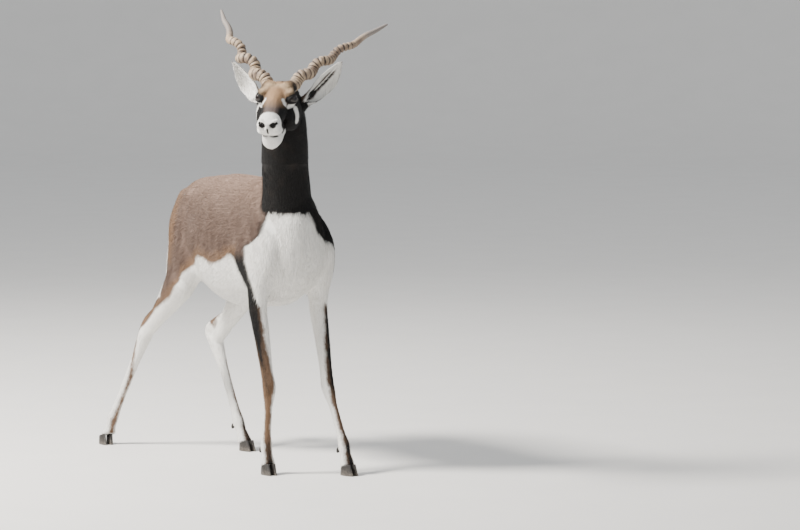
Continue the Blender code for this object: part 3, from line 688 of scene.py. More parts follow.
@dataclass
class Skin:
    """One closed skin over all the flesh, with lids, nostrils and lips."""

    layout: Layout
    inflate: float = 0.0005
    voxel: float = 0.0021
    inset: float = 0.0012
    smoothing: int = 110
    triangles: int = 150_000
    lid_growth: float = 0.0012
    horn_plug: float = 0.0185
    claw_plug: float = 0.0085
    claw_seat: float = 0.40

    def nodes(self) -> tuple[str, ...]:
        """The CAD nodes of flesh."""
        parts = ["torso", "neck", "head", "tail"]
        parts += [f"leg_{leg}_{part}" for leg in LEGS for part in ("upper", "cannon", "pastern")]
        return tuple(parts)

    def build(self, frame: dict) -> bpy.types.Object:
        """Make the skin.


        Returns:
            The skin's object.
        """
        skin = self._gather(frame["nodes"])
        modified(skin, "REMESH", mode="VOXEL", voxel_size=self.voxel)
        keep_largest(skin)
        self._smooth(skin)
        self._inset(skin.data)
        self._refine_face(skin)
        self._sculpt_face(skin.data)
        self._thin(skin)
        return skin

    def _gather(self, nodes: dict[str, bpy.types.Object]) -> bpy.types.Object:
        """Swollen copies of the flesh, with the sockets of eyes and horns filled."""
        whole = bmesh.new()
        for name in self.nodes():
            piece = bmesh.new()
            piece.from_mesh(nodes[name].data)
            bmesh.ops.remove_doubles(piece, verts=piece.verts, dist=1e-6)
            piece.normal_update()
            for vertex in piece.verts:
                vertex.co += vertex.normal * self.inflate
            mesh = bpy.data.meshes.new("piece")
            piece.to_mesh(mesh)
            piece.free()
            whole.from_mesh(mesh)
            bpy.data.meshes.remove(mesh)
        head = self.layout.head
        for name, side in SIDES.items():
            seat = head.mirrored(head.eye_seat, side) + self.layout.shift
            radius = head.eye_radius + self.lid_growth
            bmesh.ops.create_icosphere(whole, subdivisions=4, radius=radius,
                                       matrix=Matrix.Translation(seat))
            horn = Horn(self.layout, name)
            root, tip = horn.ends()
            lean = (tip - root).normalized()
            for step in (-0.004, 0.004, 0.012):
                at = Matrix.Translation(root + lean * step + self.layout.shift)
                bmesh.ops.create_icosphere(whole, subdivisions=3, radius=self.horn_plug, matrix=at)
        for leg in self.layout.legs:
            fetlock = Vector(leg.joints[2])
            fetlock.x *= leg.side
            for place in ("inner", "outer"):
                low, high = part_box(f"dewclaw_{leg.name}_{place}")
                at = ((low + high) / 2).lerp(fetlock + self.layout.shift, self.claw_seat)
                bmesh.ops.create_icosphere(whole, subdivisions=3, radius=self.claw_plug,
                                           matrix=Matrix.Translation(at))
        mesh = bpy.data.meshes.new("skin")
        whole.to_mesh(mesh)
        whole.free()
        return add_object("skin", mesh)

    def _zones(self, places: np.ndarray) -> tuple[np.ndarray, np.ndarray]:
        """Shares of face and of lower leg of each body place."""
        along = self.layout.head.coordinates(places)[:, 0]
        face = soft_step(along, -0.10, -0.06) * (places[:, 2] > 0.86)
        leg = soft_step(places[:, 2], 0.46, 0.40)
        return face, leg

    def _smooth(self, skin: bpy.types.Object) -> None:
        """Take out the facets, most on the trunk and least on the face."""
        places = self.layout.to_body(places_of(skin.data))
        face, leg = self._zones(places)
        neck = soft_step(places[:, 2], 0.72, 0.80)
        weight = 1.0 - 0.35 * neck
        weight *= 1 - 0.86 * leg
        weight *= 1 - 0.93 * face
        group = skin.vertex_groups.new(name="softness")
        for index, value in enumerate(weight.tolist()):
            group.add((index,), value, "REPLACE")
        modified(skin, "SMOOTH", factor=0.5, iterations=self.smoothing, vertex_group=group.name)
        skin.vertex_groups.clear()

    def _inset(self, mesh: bpy.types.Mesh) -> None:
        """Draw the skin in, so that the hair has room inside the solid's outline."""
        places = places_of(mesh)
        face, leg = self._zones(self.layout.to_body(places))
        depth = self.inset * (1 - 0.6 * np.maximum(face, leg))
        set_places(mesh, places - normals_of(mesh) * depth[:, None])

    def _refine_face(self, skin: bpy.types.Object) -> None:
        """Finer faces round the eyes, the nostrils and the mouth."""
        head = self.layout.head
        work = bmesh.new()
        work.from_mesh(skin.data)
        points = head.coordinates(self.layout.to_body(places_of(skin.data)))
        points[:, 1] = np.abs(points[:, 1])
        near_eye = np.linalg.norm(points - np.array(head.eye_seat), axis=1) < 0.031
        near_muzzle = (points[:, 0] > 0.062) & (points[:, 2] > -0.11) & (points[:, 2] < 0.02)
        chosen = near_eye | near_muzzle
        edges = [e for e in work.edges if chosen[e.verts[0].index] and chosen[e.verts[1].index]]
        bmesh.ops.subdivide_edges(work, edges=edges, cuts=1, use_grid_fill=True)
        bmesh.ops.triangulate(work, faces=work.faces)
        work.to_mesh(skin.data)
        work.free()

    def _sculpt_face(self, mesh: bpy.types.Mesh) -> None:
        """Open the lids over the eyes and carve the nostrils, the mouth and the face glands."""
        head = self.layout.head
        places = places_of(mesh)
        normals = normals_of(mesh)
        points = head.coordinates(self.layout.to_body(places))
        sign = np.where(points[:, 1] < 0, -1.0, 1.0)
        points[:, 1] *= sign
        height = self._relief(points)
        places = places + normals * height[:, None]
        places = self._open_lids(places, points, sign)
        set_places(mesh, places)

    def _relief(self, points: np.ndarray) -> np.ndarray:
        """Height of nostrils, mouth, lips and face glands over the skin."""
        relief = sum(line.relief(points) for line in CARVED.values())
        on_face = (points[:, 0] > -0.05) & (np.abs(points[:, 2]) < 0.15)
        return relief * on_face

    def _open_lids(self, places: np.ndarray, points: np.ndarray, sign: np.ndarray) -> np.ndarray:
        """Shape rounded lids with an almond opening over each eyeball.

        Args:
            places: Places of the row frame.
            points: The same places on the head, mirrored to its left half.
            sign: The half of the head that each place lies in.

        Returns:
            The moved places.
        """
        head = self.layout.head
        seat = np.array(head.eye_seat)
        level, rise, gaze = head.lid_axes()
        offset = points - seat
        far = np.linalg.norm(offset, axis=1)
        direction = offset / far[:, None]
        across, over, facing = direction @ level, direction @ rise, direction @ gaze
        half = np.where(over > 0, 0.56, 0.46)
        opening = np.hypot(across / 0.86, over / half)
        opening = np.where(facing > 0, opening, 9.0)
        radius = head.eye_radius
        lid = radius + 0.0013 - 0.0040 * soft_step(opening, 1.0, 0.90)
        lid += 0.0009 * bump_at(opening - 1.12, 0.13)
        weight = soft_step(opening, 1.75, 1.25) * (far < 2 * radius)
        target = far + (lid - far) * weight
        moved = seat + direction * target[:, None]
        moved[:, 1] *= sign
        forward, left, up = (np.array(axis) for axis in head.axes())
        body = np.array(head.eye_midpoint) + moved @ np.stack([forward, left, up])
        near = (weight > 0)[:, None]
        return np.where(near, self.layout.to_row(body), places)

    def _thin(self, skin: bpy.types.Object) -> None:
        """Bring the trunk and legs down to fewer triangles, and leave the face alone."""
        places = self.layout.to_body(places_of(skin.data))
        face, _ = self._zones(places)
        group = skin.vertex_groups.new(name="plain")
        plain = np.nonzero(face < 0.5)[0].tolist()
        group.add(plain, 1.0, "REPLACE")
        triangles = sum(len(p.vertices) - 2 for p in skin.data.polygons)
        modified(skin, "DECIMATE", ratio=self.triangles / triangles, vertex_group=group.name)
        skin.vertex_groups.clear()


# Horns

@dataclass(frozen=True)
class Spiral:
    """How one horn winds: its tip and its bow are given on the head, as on the left."""

    tip: Triple
    bow: Triple
    bow_skew: float
    turns: float
    phase: float
    swing: float


SPIRALS = {
    "left": Spiral((-0.351, 0.236, 0.080), (0.012, -0.029, -0.005), 1.05, 4.61, -1.84, 0.0067),
    "right": Spiral((-0.350, 0.236, 0.104), (0.004, 0.011, -0.017), 1.44, 4.18, 0.53, 0.0127),
}


@dataclass
class Horn:
    """One ringed horn on an open spiral."""

    layout: Layout
    name: str
    root: Triple = (-0.022, 0.0225, 0.017)
    radius: float = 0.0170
    taper: float = 0.50
    straight: float = 0.06
    rings: float = 25.0
    ringed: float = 0.74
    ridge: float = 0.0036
    rows: int = 420
    sides: int = 36

    def spiral(self) -> Spiral:
        """The horn's own spiral."""
        return SPIRALS[self.name]

    def ends(self) -> tuple[Vector, Vector]:
        """Root and tip in body coordinates."""
        side = SIDES[self.name]
        head = self.layout.head
        return head.mirrored(self.root, side), head.mirrored(self.spiral().tip, side)

    def centreline(self) -> tuple[np.ndarray, np.ndarray]:
        """Places and radii along the spiral, from the root to the tip."""
        side = SIDES[self.name]
        forward, left, up = self.layout.head.axes()
        root, tip = self.ends()
        axis = (tip - root).normalized()
        out = left * side
        out = (out - axis * out.dot(axis)).normalized()
        over = axis.cross(out) * side
        spiral = self.spiral()
        along, aside, above = spiral.bow
        bow = np.array(forward * along + left * aside * side + up * above)
        u = np.linspace(0, 1, self.rows)
        swing = spiral.swing * np.sin(np.pi * np.minimum(u / 0.92, 1.0)) ** 0.8 * (1 - 0.3 * u)
        swing *= np.minimum(1.0, u / self.straight)
        turn = 2 * math.pi * spiral.turns * u + spiral.phase
        places = np.outer(1 - u, root) + np.outer(u, tip)
        places += np.outer(np.cos(turn) * swing, out) + np.outer(np.sin(turn) * swing, over)
        places += np.outer(np.sin(np.pi * u**spiral.bow_skew), bow)
        radii = self.radius * (1 - u) ** self.taper + 0.0012
        radii[-1] *= 0.35
        return self.layout.to_row(places), radii

    def _curve(self) -> bpy.types.Object:
        """The centreline as a curve with its radii."""
        places, radii = self.centreline()
        curve = bpy.data.curves.new("horn_line", "CURVE")
        curve.dimensions = "3D"
        line = curve.splines.new("POLY")
        line.points.add(len(places) - 1)
        line.points.foreach_set("co", np.column_stack([places, np.ones(len(places))]).ravel())
        line.points.foreach_set("radius", radii)
        thing = bpy.data.objects.new("horn_" + self.name + "_visual", curve)
        bpy.context.scene.collection.objects.link(thing)
        return thing

    def _tree(self, material: bpy.types.Material) -> bpy.types.NodeTree:
        """The Geometry Nodes tree: a tube whose wall swells into rings.

        Args:
            material: The horn's finish.

        Returns:
            The tree, with its sizes as named inputs.
        """
        tree = bpy.data.node_groups.new("ringed_horn", "GeometryNodeTree")
        ports = tree.interface
        ports.new_socket("Geometry", in_out="INPUT", socket_type="NodeSocketGeometry")
        for name, value in (("Rings", self.rings), ("Ringed share", self.ringed), ("Ridge", self.ridge)):
            port = ports.new_socket(name, in_out="INPUT", socket_type="NodeSocketFloat")
            port.default_value = value
        port = ports.new_socket("Sides", in_out="INPUT", socket_type="NodeSocketInt")
        port.default_value = self.sides
        ports.new_socket("Geometry", in_out="OUTPUT", socket_type="NodeSocketGeometry")
        bench = Bench(tree)
        start = bench.node("NodeGroupInput")
        rings, ringed, ridge = (bench.out(start, n) for n in ("Rings", "Ringed share", "Ridge"))
        share = bench.out(bench.node("GeometryNodeSplineParameter"), "Factor")
        line = bench.stored(bench.out(start, "Geometry"), "share", share)
        profile = bench.node("GeometryNodeCurvePrimitiveCircle", {}, {
            "Resolution": bench.out(start, "Sides"), "Radius": 1.0,
        })
        tube = bench.node("GeometryNodeCurveToMesh", {}, {
            "Curve": line, "Profile Curve": bench.out(profile), "Fill Caps": True,
        })
        if "Scale" in tube.inputs:
            tree.links.new(bench.out(bench.node("GeometryNodeInputRadius")).socket, tube.inputs["Scale"])
        along = bench.named("share")
        place = bench.out(bench.node("GeometryNodeInputPosition"))
        drift = 3.0 * bench.noise(16, place, 1)
        wave = (along / ringed * rings * math.pi + drift).sine().absolute()
        crest = wave**1.3
        uneven = 1.5 * bench.noise(48, place, 2).stepped(0.36, 0.66)
        fade = along.stepped(0.0, 0.05) * (1 - along.stepped(self.ringed - 0.10, self.ringed + 0.02))
        height = (crest - 0.78) * ridge * fade * uneven * (1 - 0.45 * along)
        marked = bench.stored(bench.out(tube), "crest", 1 - (1 - crest) * fade)
        normal = bench.out(bench.node("GeometryNodeInputNormal"))
        offset = bench.node("ShaderNodeVectorMath", {"operation": "SCALE"}, {0: normal, "Scale": height})
        moved = bench.node("GeometryNodeSetPosition", {}, {
            "Geometry": marked, "Offset": bench.out(offset),
        })
        bench.sent_out(bench.out(moved), material)
        return tree

    def build(self, material: bpy.types.Material) -> bpy.types.Object:
        """Make the horn and tie it to the frame."""
        line = self._curve()
        step = line.modifiers.new("rings", "NODES")
        step.node_group = self._tree(material)
        bpy.context.view_layer.update()
        graph = bpy.context.evaluated_depsgraph_get()
        mesh = bpy.data.meshes.new_from_object(line.evaluated_get(graph))
        bpy.data.objects.remove(line)
        turn_outwards(mesh)
        horn = add_object("horn_" + self.name + "_ringed", mesh)
        finish_piece(horn, ("horn_" + self.name,))
        return horn


# Ears, eyes and feet

@dataclass(frozen=True)
class Carriage:
    """How one ear is held: its tip on the head as on the left, its bend, how it opens outwards."""

    tip: Triple
    bend: float
    outward: float
    plain: bool


CARRIAGES = {
    "left": Carriage((-0.121, 0.155, 0.060), 0.017, 0.22, False),
    "right": Carriage((-0.129, 0.153, 0.043), 0.024, 0.04, True),
}


@dataclass
class Ear:
    """One ear: a cupped leaf with a rounded rim and a solid root."""

    layout: Layout
    name: str
    root: Triple = (-0.058, 0.051, -0.045)
    stub: float = 0.016
    sunk: float = 0.006
    arc: int = 33
    rows: int = 60

    def carriage(self) -> Carriage:
        """The ear's own carriage."""
        return CARRIAGES[self.name]

    def axes(self) -> tuple[Vector, Vector, Vector, Vector, Vector]:
        """Root, tip, axis, opening and width directions."""
        side = SIDES[self.name]
        head = self.layout.head
        forward, left, up = head.axes()
        root = head.mirrored(self.root, side)
        tip = head.mirrored(self.carriage().tip, side)
        axis = (tip - root).normalized()
        opening = forward * 0.92 + left * side * self.carriage().outward - up * 0.18
        opening = (opening - axis * opening.dot(axis)).normalized()
        return root, tip, axis, opening, axis.cross(opening)

    def build(self) -> bpy.types.Object:
        """Make the ear's skin, with its inside and its rim stored for the coat."""
        root, tip, axis, opening, width = self.axes()
        droop = width if width.z < 0 else -width
        start = root + axis * self.stub
        length = (tip - start).length
        rows = np.concatenate([[-self.sunk / length], np.linspace(0, 1, self.rows) ** 0.9])
        points, inside, shares, spread = [], [], [], []
        for u in rows:
            share = max(u, 0.0)
            swell = max(0.0, math.sin(math.pi * share**1.1)) ** 1.3
            half_width = 0.0148 * (1 - share) ** 0.3 + 0.0150 * swell + 0.0012
            wrap = math.radians(165 - 105 * min(1.0, share / 0.35) ** 0.7)
            radius = half_width / math.sin(min(wrap, math.pi / 2))
            solid = max(0.0, 1 - share / 0.13)
            wall = min(radius * 0.6, 0.0026 - 0.0008 * share) + (radius * 0.93 - 0.0026) * solid
            bend = (droop * self.carriage().bend - opening * 0.003) * math.sin(math.pi * share)
            centre = start + axis * length * u + bend + opening * (radius - half_width) * 0.5
            middle = radius - max(wall, 0.0008) / 2
            for i in range(2 * self.arc):
                around = i if i < self.arc else 2 * self.arc - 1 - i
                place = 2 * around / (self.arc - 1) - 1
                angle = wrap * place
                rim = math.sqrt(max(0.0, 1 - abs(place) ** 9))
                half = (radius - middle) * (0.15 + 0.85 * rim)
                ring = middle + (half if i < self.arc else -half)
                points.append(centre + (width * math.sin(angle) - opening * math.cos(angle)) * ring)
                inside.append(0.0 if i < self.arc else 1.0)
                shares.append(share)
                spread.append(place)
        mesh = mesh_of("ear", self.layout.to_row(np.array(points)), ring_faces(len(rows), 2 * self.arc))
        self._mark(mesh, np.array(inside), np.array(shares), np.array(spread))
        return add_object("ear_" + self.name + "_leaf", mesh)

    def _mark(self, mesh: bpy.types.Mesh, inside: np.ndarray, share: np.ndarray, spread: np.ndarray) -> None:
        """Store the ear's colours and the lie of its hair.

        Args:
            mesh: The ear.
            inside: 1 on the inner wall.
            share: Share of the way from the root to the tip.
            spread: Place across the ear from -1 to 1.
        """
        _, _, axis, _, width = self.axes()
        rim = np.abs(spread)
        channel = np.cos((spread + 0.08) * 1.5 * math.pi) * soft_step(share, 0.95, 0.65)
        channel -= 1.1 * bump_at(spread + 0.12, 0.07) * soft_step(share, 0.15, 0.35)
        folds = np.full(len(share), -0.4) if self.carriage().plain else channel
        inner_white = 0.004 - 0.014 * folds - 0.010 * soft_step(share, 0.30, 0.10)
        outer_white = (rim - 0.86) * 0.05 + 0.004 * soft_step(share, 0.85, 1.0)
        white = np.where(inside > 0.5, inner_white, outer_white)
        # The outer wall of the ear takes the paler coat colour as its own colour, without painted sunlight.
        fields = {
            "white": white, "dark": np.where(inside > 0.5, 0.02, -0.004), "tan": np.full(len(share), 0.0),
            "bare": np.where(inside > 0.5, -0.004 - white, NOWHERE), "cream": np.zeros(len(share)),
            "bridge": np.where(inside > 0.5, 0.02, NOWHERE), "face": np.zeros(len(share)),
            "pale": np.where(inside > 0.5, 0.0, 0.30), "patch": np.ones(len(share)),
            "length": 0.010 + 0.006 * inside * soft_step(rim, 0.4, 0.9) * soft_step(share, 1.0, 0.8),
            "girth": np.full(len(share), 0.0013), "growth": soft_step(white, -0.012, 0.0),
        }
        fields["growth"] = np.where(inside > 0.5, fields["growth"], 1.0)
        for name, values in fields.items():
            store(mesh, name, values)
        toward_rim = np.outer(np.sign(spread) * inside * -0.5, np.array(width))
        lie = np.tile(np.array(axis), (len(share), 1)) + toward_rim
        normals = normals_of(mesh)
        lie -= normals * (lie * normals).sum(1)[:, None]
        lie /= np.maximum(np.linalg.norm(lie, axis=1), 1e-9)[:, None]
        store(mesh, "lie", lie)


@dataclass
class Eye:
    """One eyeball with a domed cornea."""

    layout: Layout
    name: str
    segments: int = 64
    rings: int = 40
    dome: float = 0.0011
    dome_foot: float = 46.0
    dome_top: float = 30.0
    pupil_length: float = 0.0072
    pupil_height: float = 0.0046

    def build(self, material: bpy.types.Material) -> bpy.types.Object:
        """Make the eyeball, its pupil and iris stored as distances from the gaze."""
        head = self.layout.head
        side = SIDES[self.name]
        forward, left, up = head.axes()
        along, aside, above = head.gaze
        gaze = (forward * along + left * aside * side + up * above).normalized()
        level = (forward - gaze * forward.dot(gaze)).normalized()
        rise = gaze.cross(level)
        work = bmesh.new()
        bmesh.ops.create_uvsphere(work, u_segments=self.segments, v_segments=self.rings,
                                  radius=head.eye_radius)
        mesh = bpy.data.meshes.new("eye")
        work.to_mesh(mesh)
        work.free()
        places = places_of(mesh)
        polar = np.degrees(np.arccos(np.clip(places[:, 2] / head.eye_radius, -1, 1)))
        rise_share = soft_step(polar, self.dome_foot, self.dome_top)
        places *= (1 + self.dome / head.eye_radius * rise_share)[:, None]
        basis = np.stack([np.array(level), np.array(rise), np.array(gaze)])
        seat = np.array(head.mirrored(head.eye_seat, side) + self.layout.shift)
        set_places(mesh, places @ basis + seat)
        store(mesh, "polar", polar)
        store(mesh, "pupil", np.hypot(places[:, 0] / self.pupil_length, places[:, 1] / self.pupil_height))
        turn_outwards(mesh)
        mesh.materials.append(material)
        eye = add_object("eye_" + self.name + "_ball", mesh)
        finish_piece(eye, ("eye_" + self.name,))
        return eye


@dataclass
class Claw:
    """A hoof half or dewclaw, rounded and ringed by growth."""

    layout: Layout
    node: str
    voxel: float = 0.0011
    smoothing: int = 5
    ring_gap: float = 0.0042
    ring_depth: float = 0.00018
    ring_sway: float = 0.8
    sway_waves: float = 90.0
    weld: float = 1e-6

    def build(self, frame: dict, material: bpy.types.Material) -> bpy.types.Object:
        """Make the claw from a merged copy of its solid.

        Args:
            material: The claw's finish.

        Returns:
            The claw.
        """
        work = bmesh.new()
        work.from_mesh(frame["nodes"][self.node].data)
        bmesh.ops.remove_doubles(work, verts=work.verts, dist=self.weld)
        mesh = bpy.data.meshes.new(self.node)
        work.to_mesh(mesh)
        work.free()
        claw = add_object(self.node + "_horn", mesh)
        modified(claw, "REMESH", mode="VOXEL", voxel_size=self.voxel)
        modified(claw, "SMOOTH", factor=0.5, iterations=self.smoothing)
        places = places_of(claw.data)
        normals = normals_of(claw.data)
        sway = self.ring_sway * np.sin(self.sway_waves * places[:, 0])
        wave = np.sin(2 * math.pi * places[:, 2] / self.ring_gap + sway)
        wall = 1 - np.abs(normals[:, 2])
        set_places(claw.data, places + normals * (wave * wall * self.ring_depth)[:, None])
        claw.data.materials.clear()
        claw.data.materials.append(material)
        finish_piece(claw, (self.node,))
        return claw


# Markings of the coat

@dataclass
class Markings:
    """Where the coat is white, dark, tan or bare, as signed distances in metres."""

    layout: Layout
    chest_middle: float = 0.12
    neck_foot: float = 0.716
    leg_reach: float = 0.09
    rim_middle: tuple[float, float] = (0.003, 0.0025)
    rim_half: tuple[float, float] = (0.0200, 0.0115)
    rim_depth: float = 0.012

    def apply(self, mesh: bpy.types.Mesh) -> dict[str, np.ndarray]:
        """Store the markings on a mesh.

        Args:
            mesh: The skin, in the row frame.

        Returns:
            The stored fields by name.
        """
        places = self.layout.to_body(places_of(mesh))
        normals = normals_of(mesh)
        fields = self._body(places)
        # Painted sunlight: coat high on the body and facing upwards is mixed towards a paler colour,
        # standing in for sun and sheen on the back.
        fields["pale"] = soft_step(places[:, 2], 0.64, 0.82) * soft_step(normals[:, 2], -0.10, 0.9)
        for leg in self.layout.legs:
            self._leg(leg, places, fields)
        self._face(places, fields)
        for name, values in fields.items():
            store(mesh, name, values)
        return fields

    def _chest(self, places: np.ndarray) -> np.ndarray:
        """How far each place is inside the white chest, by its angle round the chest."""
        angle = np.degrees(np.arctan2(places[:, 0], self.chest_middle - places[:, 1]))
        heights = [0.40, 0.48, 0.51, 0.54, 0.56, 0.58, 0.615, 0.636, 0.642, 0.654, 0.669, 0.70, 0.725]
        right = [-76, -81, -83, -89, -100, -104, -108, -103, -90, -74, -67, -64, -64]
        left = [80, 78, 72, 62, 54, 52, 50, 45, 37, 22, 13, 7, 5]
        inside = np.minimum(angle - np.interp(places[:, 2], heights, right),
                            np.interp(places[:, 2], heights, left) - angle)
        reach = np.maximum(np.hypot(places[:, 0], places[:, 1] - self.chest_middle), 0.03)
        return np.minimum(np.radians(inside) * reach, self.neck_foot + 0.01 - places[:, 2])

    def _body(self, places: np.ndarray) -> dict[str, np.ndarray]:
        """White belly, chest and buttocks, black neck, brown cape with a tan hem, and a black left shoulder
        that is partly its dark coat and partly painted shade.
        """
        x, y, z = places.T
        across = np.abs(x)
        hem_y = [0.205, 0.225, 0.245, 0.28, 0.31, 0.345, 0.365, 0.385, 0.41, 0.435, 0.46, 0.475,
                 0.50, 0.51, 0.55, 0.58, 0.62]
        hem_z = [0.600, 0.598, 0.591, 0.577, 0.566, 0.569, 0.576, 0.580, 0.582, 0.572, 0.551, 0.536,
                 0.522, 0.485, 0.449, 0.434, 0.43]
        above_hem = (z - np.interp(y, hem_y, hem_z)) * 0.8
        behind = np.interp(z, [0.46, 0.50, 0.531, 0.558, 0.58, 0.60],
                           [0.165, 0.172, 0.175, 0.193, 0.203, 0.215])
        behind -= 0.026 * soft_step(x, 0.0, 0.05) * soft_step(z, 0.58, 0.50)
        inner_edge = np.where(x > 0, 0.082, 0.058)
        strap = np.minimum(np.minimum(behind - y, 0.63 - z), across - inner_edge)
        chest = self._chest(places)
        cape = np.minimum(np.maximum(above_hem, strap), -chest)
        buttock = y - np.interp(z, [0.40, 0.45, 0.56, 0.61, 0.655, 0.70, 0.76],
                                [0.60, 0.60, 0.580, 0.590, 0.608, 0.630, 0.665])
        on_tail = (across < 0.024) & (y > 0.63)
        cape = np.where(on_tail, 0.011 - across, np.minimum(cape, -buttock))
        saddle = np.interp(z, [0.70, 0.76, 0.82], [0.095, 0.135, 0.19])
        neck = np.maximum(np.minimum(z - self.neck_foot, saddle - y), z - 0.86)
        shoulder = np.interp(z, [0.45, 0.60, 0.72], [0.20, 0.175, 0.11])
        near_chest = (z < self.neck_foot) & (y < 0.22)
        smoky = np.where(near_chest, 0.010 + np.minimum(chest, 0.0), NOWHERE)
        strap_dark = np.interp(z, [0.47, 0.55, 0.60, 0.64], [0.03, 0.02, 0.004, -0.03])
        low_strap = np.where(strap > -0.01, strap_dark, NOWHERE)
        # Painted shade: the left shoulder, turned away from the key light, is made black over its dark brown
        # coat.
        left_shoulder_dark_and_painted_shade = np.minimum(np.minimum(x + 0.005, shoulder - y), 0.02)
        dark = np.maximum.reduce([neck, smoky, low_strap, left_shoulder_dark_and_painted_shade])
        hem_tan = 0.016 - above_hem
        rump_tan = np.minimum(np.minimum(y - 0.555, z - 0.56), 0.012)
        tan = np.maximum(np.where(y > 0.2, hem_tan, -0.03), rump_tan)
        white = np.where(z > self.neck_foot + 0.012, np.minimum(-cape, -neck), -cape)
        nothing = np.full(len(places), NOWHERE)
        return {"white": white, "dark": dark, "tan": tan, "bare": nothing, "cream": np.zeros(len(places))}

    def _leg(self, leg: Leg, places: np.ndarray, fields: dict[str, np.ndarray]) -> None:
        """Put the stripe of one leg into the fields."""
        mirrored = places * np.array((leg.side, 1.0, 1.0))
        share, angle, far = leg.level(mirrored)
        mine = leg.area(places, STRIPE_BOUNDS) & (far < self.leg_reach)
        stops = np.array(self._stripe(leg.name), float).T
        centre, half, strength = (np.interp(share, stops[0], row) for row in stops[1:])
        off = np.abs((angle - centre + 180) % 360 - 180)
        inside = np.radians(half - off) * np.maximum(far, 0.012)
        fields["white"] = np.where(mine, -inside, fields["white"])
        fields["dark"] = np.where(mine, inside - (1 - strength) * 0.03, fields["dark"])
        fields["tan"] = np.where(mine, np.maximum(inside, -0.02), fields["tan"])

    def _stripe(self, name: str) -> list[tuple[float, float, float, float]]:
        """Share along the leg, angle, half width in degrees and darkness of its stripe."""
        return {
            "fore_left": [(0.0, 28, 56, 1.0), (0.5, 42, 68, 1.0), (0.95, 55, 70, 0.9),
                          (1.2, 70, 50, 0.6), (1.8, 80, 45, 0.8), (2.0, 80, 45, 1.0), (3.0, 85, 45, 1.0)],
            "fore_right": [(0.0, -5, 80, 1.0), (0.4, 10, 70, 0.9), (0.95, 40, 75, 0.4),
                           (1.2, 45, 60, 0.2), (1.8, 60, 56, 0.3), (2.0, 80, 45, 0.9), (3.0, 85, 45, 1.0)],
            "hind_left": [(0.0, -40, 30, 0.2), (0.9, -90, 20, 0.0), (1.3, 60, 12, 0.2),
                          (1.8, 60, 26, 0.8), (2.2, 70, 36, 1.0), (3.0, 80, 40, 1.0)],
            "hind_right": [(0.0, -10, 60, 0.3), (0.6, -70, 55, 0.1), (1.0, -90, 40, 0.1),
                           (1.5, 80, 20, 0.1), (2.0, 80, 28, 0.3), (3.0, 85, 40, 0.9)],
        }[name]

    def _face(self, places: np.ndarray, fields: dict[str, np.ndarray]) -> None:
        """Put the eye rings, muzzle, chin, forehead and bare skin of the face into the fields."""
        head = self.layout.head
        points = head.coordinates(places)
        along, aside, above = points[:, 0], np.abs(points[:, 1]), points[:, 2]
        mirrored = np.stack([along, aside, above], axis=1)
        on_head = (along > -0.085) & (places[:, 2] > 0.88) & (above > -0.115)
        level, rise, gaze = head.lid_axes()
        offset = mirrored - np.array(head.eye_seat)
        across, over, facing = offset @ level, offset @ rise, offset @ gaze
        lengthwise = (across - self.rim_middle[0]) / self.rim_half[0]
        upright = (over - self.rim_middle[1]) / self.rim_half[1]
        rim = (1 - np.hypot(lengthwise, upright)) * self.rim_depth
        rim = np.where(facing > -0.004, rim, NOWHERE)
        ring = np.minimum(PAINTED["eye_hook"].inside(mirrored), -rim)
        muzzle_edge = np.interp(aside, [0.0, 0.014, 0.023, 0.027, 0.034],
                                [0.087, 0.086, 0.085, 0.087, 0.094])
        lip = np.minimum(along - 0.078, -0.052 - above)
        jaw = np.minimum(along - 0.045, -0.068 - above)
        muzzle = np.maximum.reduce([along - muzzle_edge, lip, jaw])
        cheek = PAINTED["cheek_leaf"].inside(mirrored)
        brow = PAINTED["brow"].inside(mirrored)
        bridge = np.where(above > -0.03, np.minimum(0.018 - aside, along - 0.03), NOWHERE)
        bare = np.maximum.reduce([rim] + [line.inside(mirrored) for line in BARE.values()])
        fields["white"] = np.where(on_head, np.maximum(np.maximum(ring, muzzle), cheek), fields["white"])
        fields["dark"] = np.where(on_head, 0.05, fields["dark"])
        fields["tan"] = np.where(on_head, brow, fields["tan"])
        fields["bare"] = np.where(on_head, bare, fields["bare"])
        fields["cream"] = PAINTED["crown"].relief(mirrored) * on_head
        fields["bridge"] = np.where(on_head, bridge, NOWHERE)
        fields["face"] = soft_step(along, -0.085, -0.055) * on_head


# The hair

@dataclass(frozen=True)
class Patch:
    """One stretch of coat that becomes a piece of its own."""

    name: str
    slot: Slot
    number: int
    spacing: float
    lift: float


PATCHES = (
    Patch("coat_flank_right", Slot.BODY, 1, 0.0028, 4.0),
    Patch("coat_flank_left", Slot.BODY, 2, 0.0028, 4.0),
    Patch("coat_rump_right", Slot.BODY, 3, 0.0028, 4.0),
    Patch("coat_rump_left", Slot.BODY, 4, 0.0028, 4.0),
    Patch("coat_throat", Slot.NECK, 5, 0.0036, 10.0),
    Patch("coat_head", Slot.FACE, 6, 0.0025, 13.0),
    Patch("coat_leg_fore_left", Slot.LEGS, 7, 0.0034, 10.0),
    Patch("coat_leg_fore_right", Slot.LEGS, 8, 0.0034, 10.0),
    Patch("coat_leg_hind_left", Slot.LEGS, 9, 0.0034, 10.0),
    Patch("coat_leg_hind_right", Slot.LEGS, 10, 0.0034, 10.0),
    Patch("coat_tail", Slot.BODY, 11, 0.0034, 9.0),
)


EAR_PATCHES = {name: Patch("coat_ear_" + name, Slot.EARS, 1, 0.0028, 11.0) for name in SIDES}
DEWCLAW_VOXEL = 0.0008


